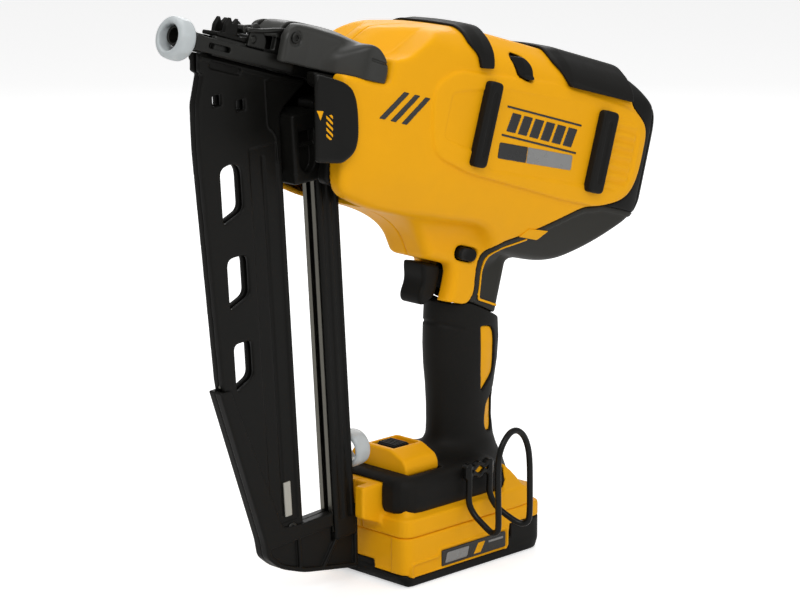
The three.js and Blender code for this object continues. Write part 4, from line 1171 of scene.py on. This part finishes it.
PLATE = Flat([
    (14.6, slope(14.6, 6.5), 1), (90, slope(90, 6.5), 2), (90.5, -42, 4), (70.5, -55, 6), (70.5, -306, 2),
    (48, -306, 2), (16.5, -205, 6), (11, -66, 4), (11.8, -41, 2), (17, -24.5, 1), (13.8, -22.5, 1),
], margin=10)
WINDOWS = [
    Flat([(m0, top - 10), (m0, top - tall, 3), (m1, top - tall + 6, 4), (m1, top, bend), (m0, top, bend)],
         step=0.25)
    for top, tall, m0, m1, bend in (
        (-78, 33.5, 24.4, 40.6, 8), (-131, 30, 25.4, 41, 5), (-181, 28, 26.4, 40.2, 4),
    )
]
PORTS = ((25.5, -40.5), (42.5, -46.0))
SLOT_TOP = Flat([(22, slope(22, 9.5), 2), (44, slope(44, 9.5), 2), (43, slope(43, 14), 2),
                 (21, slope(21, 14), 2)], step=0.25)
NOTCH = Flat([(60, -34), (60, -62, 3), (66, -68, 3), (66, -84), (200, -84), (200, -34)], margin=20)


def magazine_side(side):
    def field(p):
        m, y, n = p.T
        y = y * side
        d = both(PLATE(m, n), between(y, 1.2, 4.2), k=0.7)
        # raised ridge along the upper edge
        ridge = both(PLATE(m, n), abs(n - slope(m, 9.5)) - 1.6, between(y, 3, 5.3), k=1.0)
        d = smin(d, ridge, 0.8)
        # lip that closes the gap between the plates down the front edge
        lip = both(PLATE(m, n), -3.5 - PLATE(m, n), m - 22, between(n, -204, -24),
                   between(y, 0.15, 2.4), k=0.3)
        d = smin(d, lip, 0.3)
        for window in WINDOWS:
            d = cut(d, window(m, n), 1.0)
        for pm, pn in PORTS:
            port = both(abs(m - pm) - 3.4, abs(n - pn) - 3.2, k=0.8)
            d = cut(d, port, 0.6)
        # shallow field between the windows' strip and the rear edge
        field_edge = both(between(m, 46.5, 67), between(n, -296, -72), k=1.0)
        d = cut(d, both(field_edge, 3.3 - y, k=0.3), 0.6)
        groove = both(abs(m - 57) - 1.0, between(n, -292, -78), 2.7 - y, k=0.3)
        d = cut(d, groove, 0.5)
        # long slot near the nail exit
        slot = both(SLOT_TOP(m, n), 3.0 - y, k=0.2)
        d = cut(d, slot, 0.5)
        # thin raised line round the pusher's stop
        line = both(NOTCH(m, n) + 0.8, -NOTCH(m, n) - 1.6, between(y, 4.0, 4.8), k=0.4)
        return smin(d, both(line, PLATE(m, n) + 0.5, k=0.3), 0.5)

    return field


for side, side_name in SIDES:
    y0, y1 = sorted((side * 0.1, side * 6))
    moulded(f"magazine_side_{side_name}", MAGAZINE, (10, y0, -307), (92, y1, -9), 0.8,
            magazine_side(side), BLACK)


def rear_beam(p):
    m, y, n = p.T
    d = both(between(m, 94, 111), abs(y) - 6.7, between(n, -318, -52), k=2.0)
    d = cut(d, both(abs(y) - 1.9, between(m, 80, 103), between(n, -313, -57), k=0.2), 0.3)
    d = cut(d, both(abs(y) - 5, between(m, 80, 96.4), between(n, -313, -57), k=0.2), 0.3)
    # long shallow flutes down both sides and the back
    for mc in (99.5, 106.0):
        flute = both(abs(m - mc) - 1.7, between(n, -305, -66), 6.1 - abs(y), k=0.4)
        d = cut(d, flute, 0.6)
    flute = both(abs(y) - 3.4, between(n, -305, -66), 110.2 - m, k=0.4)
    return cut(d, flute, 0.6)


moulded("rear_beam", MAGAZINE, (93, -8, -319), (112, 8, -51), 0.75, rear_beam, BLACK)


PUSHER_RECESS = Flat([(77, -66.5, 1), (89, -66.5, 1), (89, -88, 5), (83, -92, 3), (77, -88, 5)], step=0.25)
PUSHER_BLADE = Flat([(25, -64), (25, -70), (45, -76), (74, -91), (74, -64)], step=0.25)


def pusher(p):
    m, y, n = p.T
    top, bottom = -56.5, -97.0
    block = both(between(m, 73, 93), abs(y) - 12, between(n, bottom, top), k=2.0)
    # deep U-shaped recess in each side, crossed by a pin
    block = cut(block, both(PUSHER_RECESS(m, n), 7 - abs(y), k=0.5), 0.7)
    blade = both(PUSHER_BLADE(m, n), abs(y) - 0.9, k=0.2)
    tail = both(between(m, 92, 101), abs(y) - 1.5, between(n, bottom + 4, top - 4), k=0.3)
    d = np.minimum(np.minimum(block, blade), tail)
    pins = both(np.hypot(abs(y) - 9.6, n + 75) - 1.1, between(m, 74, 92), k=0.2)
    return np.minimum(d, pins)


moulded("pusher", MAGAZINE, (24, -13, -98), (102, 13, -55), 0.6, pusher, BLACK)

CAP = Flat([
    (13, -206, 1), (39.6, -303, 3), (41, -314, 3), (50.5, -323, 5), (68.7, -330.5, 5), (112, -340, 3),
    (114, -300, 1), (70.5, -300, 2), (54, -298, 3), (23, -212, 2), (21, -206, 1),
], margin=10)
CAP_POCKET = Flat([(15.5, -205), (47.7, -306.3), (70.8, -306.3), (70.8, -180), (15.5, -180)])


def magazine_end_cap(p):
    m, y, n = p.T
    d = both(CAP(m, n), abs(y) - 5.5, k=1.2)
    d = cut(d, both(CAP_POCKET(m, n), abs(y) - 4.5, k=0.2), 0.4)
    d = cut(d, box3(p, 93, 111.3, -7.7, 7.7, -318.3, -290, 0.3), 0.4)
    # recessed side panels inside a raised rim, with a diagonal rib across the corner
    panel = both(CAP(m, n) + 2.8, n + 308.5, m - 113, k=0.8)
    d = cut(d, both(panel, 3.6 - abs(y), k=0.3), 0.5)
    ribs = np.minimum(abs((n + 322) * 0.62 - (m - 92) * 0.78) - 1.1, abs(m - 66) - 1.0)
    d = smin(d, both(ribs, panel, abs(y) - 5.4, k=0.3), 0.4)
    return cut(d, both(abs(y) - 0.25, -(CAP(m, n) + 0.6), k=0.1), 0.3)


moulded("magazine_end_cap", MAGAZINE, (12, -6.5, -341), (115, 6.5, -205), 0.7, magazine_end_cap, BLACK)
moulded("spare_no_mar_pad", MAGAZINE, (110.9, -12, -280), (124, 12, -254), 0.6,
        lambda p: no_mar_ring(p, 11.3, (117.3, 0, -267)), PALE)

# Plain pale strip and a screw head low on each side plate.
MAGAZINE_BODY = NODE_BODY["magazine_side_left"]
PLATE_SCREW = (61.5, -300.5)
for side, side_name in SIDES:
    def strip(p):
        m, y, n = p.T
        return both(between(m, 57.6, 62.8), between(n, -293, -272), between(y, y0, y1), k=0.4)

    def plate_screw(p):
        m, y, n = p.T
        head = rod(p, 1, PLATE_SCREW, 3.4, y0, y1, 0.6)
        return cut(head, both(from_axis(m, n, PLATE_SCREW) - 1.6, 4.4 - side * y, k=0.2), 0.2)

    y0, y1 = sorted((side * 2.8, side * 4.0))
    added(f"magazine_strip_{side_name}", MAGAZINE, (56, y0, -295), (65, y1, -270), 0.4, strip, STRIP_PALE,
          MAGAZINE_BODY)
    y0, y1 = sorted((side * 2.8, side * 5.2))
    added(f"magazine_screw_{side_name}", MAGAZINE, (57, y0, -305), (66, y1, -296), 0.4, plate_screw,
          DARK_METAL, MAGAZINE_BODY)

# ---- carried-over CAD nodes
for name, node in frame["nodes"].items():
    if node.hide_render:
        continue
    look = RAIL_STEEL if name in ("nail_rail", "pusher_rail") else SLOT_LOOK[NODE_SLOT[name]]
    node.data.materials.clear()
    node.data.materials.append(look)
    node.data.shade_smooth()
    node.data.set_sharp_from_angle(angle=math.radians(35))
    round_over = node.modifiers.new("round_over", "BEVEL")
    round_over.width = 0.25 * MM
    round_over.segments = 2
    round_over.limit_method = "ANGLE"
    round_over.angle_limit = math.radians(40)
    round_over.use_clamp_overlap = True


# ---- stage, light and camera
def pale_floor():
    mesh = bpy.data.meshes.new("floor")
    r = 6.0
    mesh.from_pydata([(-r, -r, 0), (r, -r, 0), (r, r, 0), (-r, r, 0)], [], [(0, 1, 2, 3)])
    mat = bpy.data.materials.new("pale_floor")
    mat.use_nodes = True
    nodes, link = mat.node_tree.nodes, mat.node_tree.links.new
    shader = nodes["Principled BSDF"]
    shader.inputs["Roughness"].default_value = 0.9
    shader.inputs["Emission Color"].default_value = (1, 1, 1, 1)
    lift = nodes.new("ShaderNodeMath")
    lift.operation = "MULTIPLY"
    lift.inputs[1].default_value = 0.5
    link(nodes.new("ShaderNodeLightPath").outputs["Is Camera Ray"], lift.inputs[0])
    link(lift.outputs[0], shader.inputs["Emission Strength"])
    noise = nodes.new("ShaderNodeTexNoise")
    noise.inputs["Scale"].default_value = 6.0
    tint = nodes.new("ShaderNodeMapRange")
    tint.inputs["To Min"].default_value = 0.88
    tint.inputs["To Max"].default_value = 0.92
    link(noise.outputs["Fac"], tint.inputs["Value"])
    link(tint.outputs["Result"], shader.inputs["Base Color"])
    mesh.materials.append(mat)
    obj = bpy.data.objects.new("floor", mesh)
    bpy.context.scene.collection.objects.link(obj)
    obj.location.z = FLOOR_DROP


def softbox(name, place, size, power):
    light = bpy.data.lights.new(name, "AREA")
    light.shape = "RECTANGLE"
    light.size, light.size_y = size
    light.energy = power
    obj = bpy.data.objects.new(name, light)
    bpy.context.scene.collection.objects.link(obj)
    obj.location = CENTRE + Vector(place)
    obj.rotation_euler = (-Vector(place)).to_track_quat("-Z", "Y").to_euler()


FLOOR_DROP = -0.0002
pale_floor()
world = bpy.data.worlds.new("studio")
bpy.context.scene.world = world
world.use_nodes = True
world.node_tree.nodes["Background"].inputs["Color"].default_value = (1, 1, 1, 1)
world.node_tree.nodes["Background"].inputs["Strength"].default_value = 0.42
CENTRE = (CAD_BOX[0] + CAD_BOX[1]) / 2
softbox("key", (-0.9, -0.9, 1.1), (1.0, 0.8), 10)
softbox("left_fill", (0.5, -1.4, 0.4), (1.2, 1.0), 3)
softbox("top", (0.1, 0.2, 1.4), (1.2, 1.2), 9)
softbox("rim", (1.0, 1.0, 0.8), (0.8, 0.8), 5)

CAMERA_PLACE = (-1.178, -1.155, 0.543)
CAMERA_YAW, CAMERA_PITCH = math.radians(45), math.radians(13)
SENSOR_WIDTH, FOCAL_LENGTH = 36.0, 126.3
camera = bpy.data.objects.new("camera", bpy.data.cameras.new("camera"))
bpy.context.scene.collection.objects.link(camera)
camera.location = CAMERA_PLACE
level = math.cos(CAMERA_PITCH)
aim = Vector((level * math.sin(CAMERA_YAW), level * math.cos(CAMERA_YAW), -math.sin(CAMERA_PITCH)))
camera.rotation_euler = aim.to_track_quat("-Z", "Y").to_euler()
camera.data.sensor_width = SENSOR_WIDTH
camera.data.lens = FOCAL_LENGTH
camera.data.clip_start, camera.data.clip_end = 0.05, 50
bpy.context.scene.camera = camera
bpy.context.scene.view_settings.view_transform = "Standard"
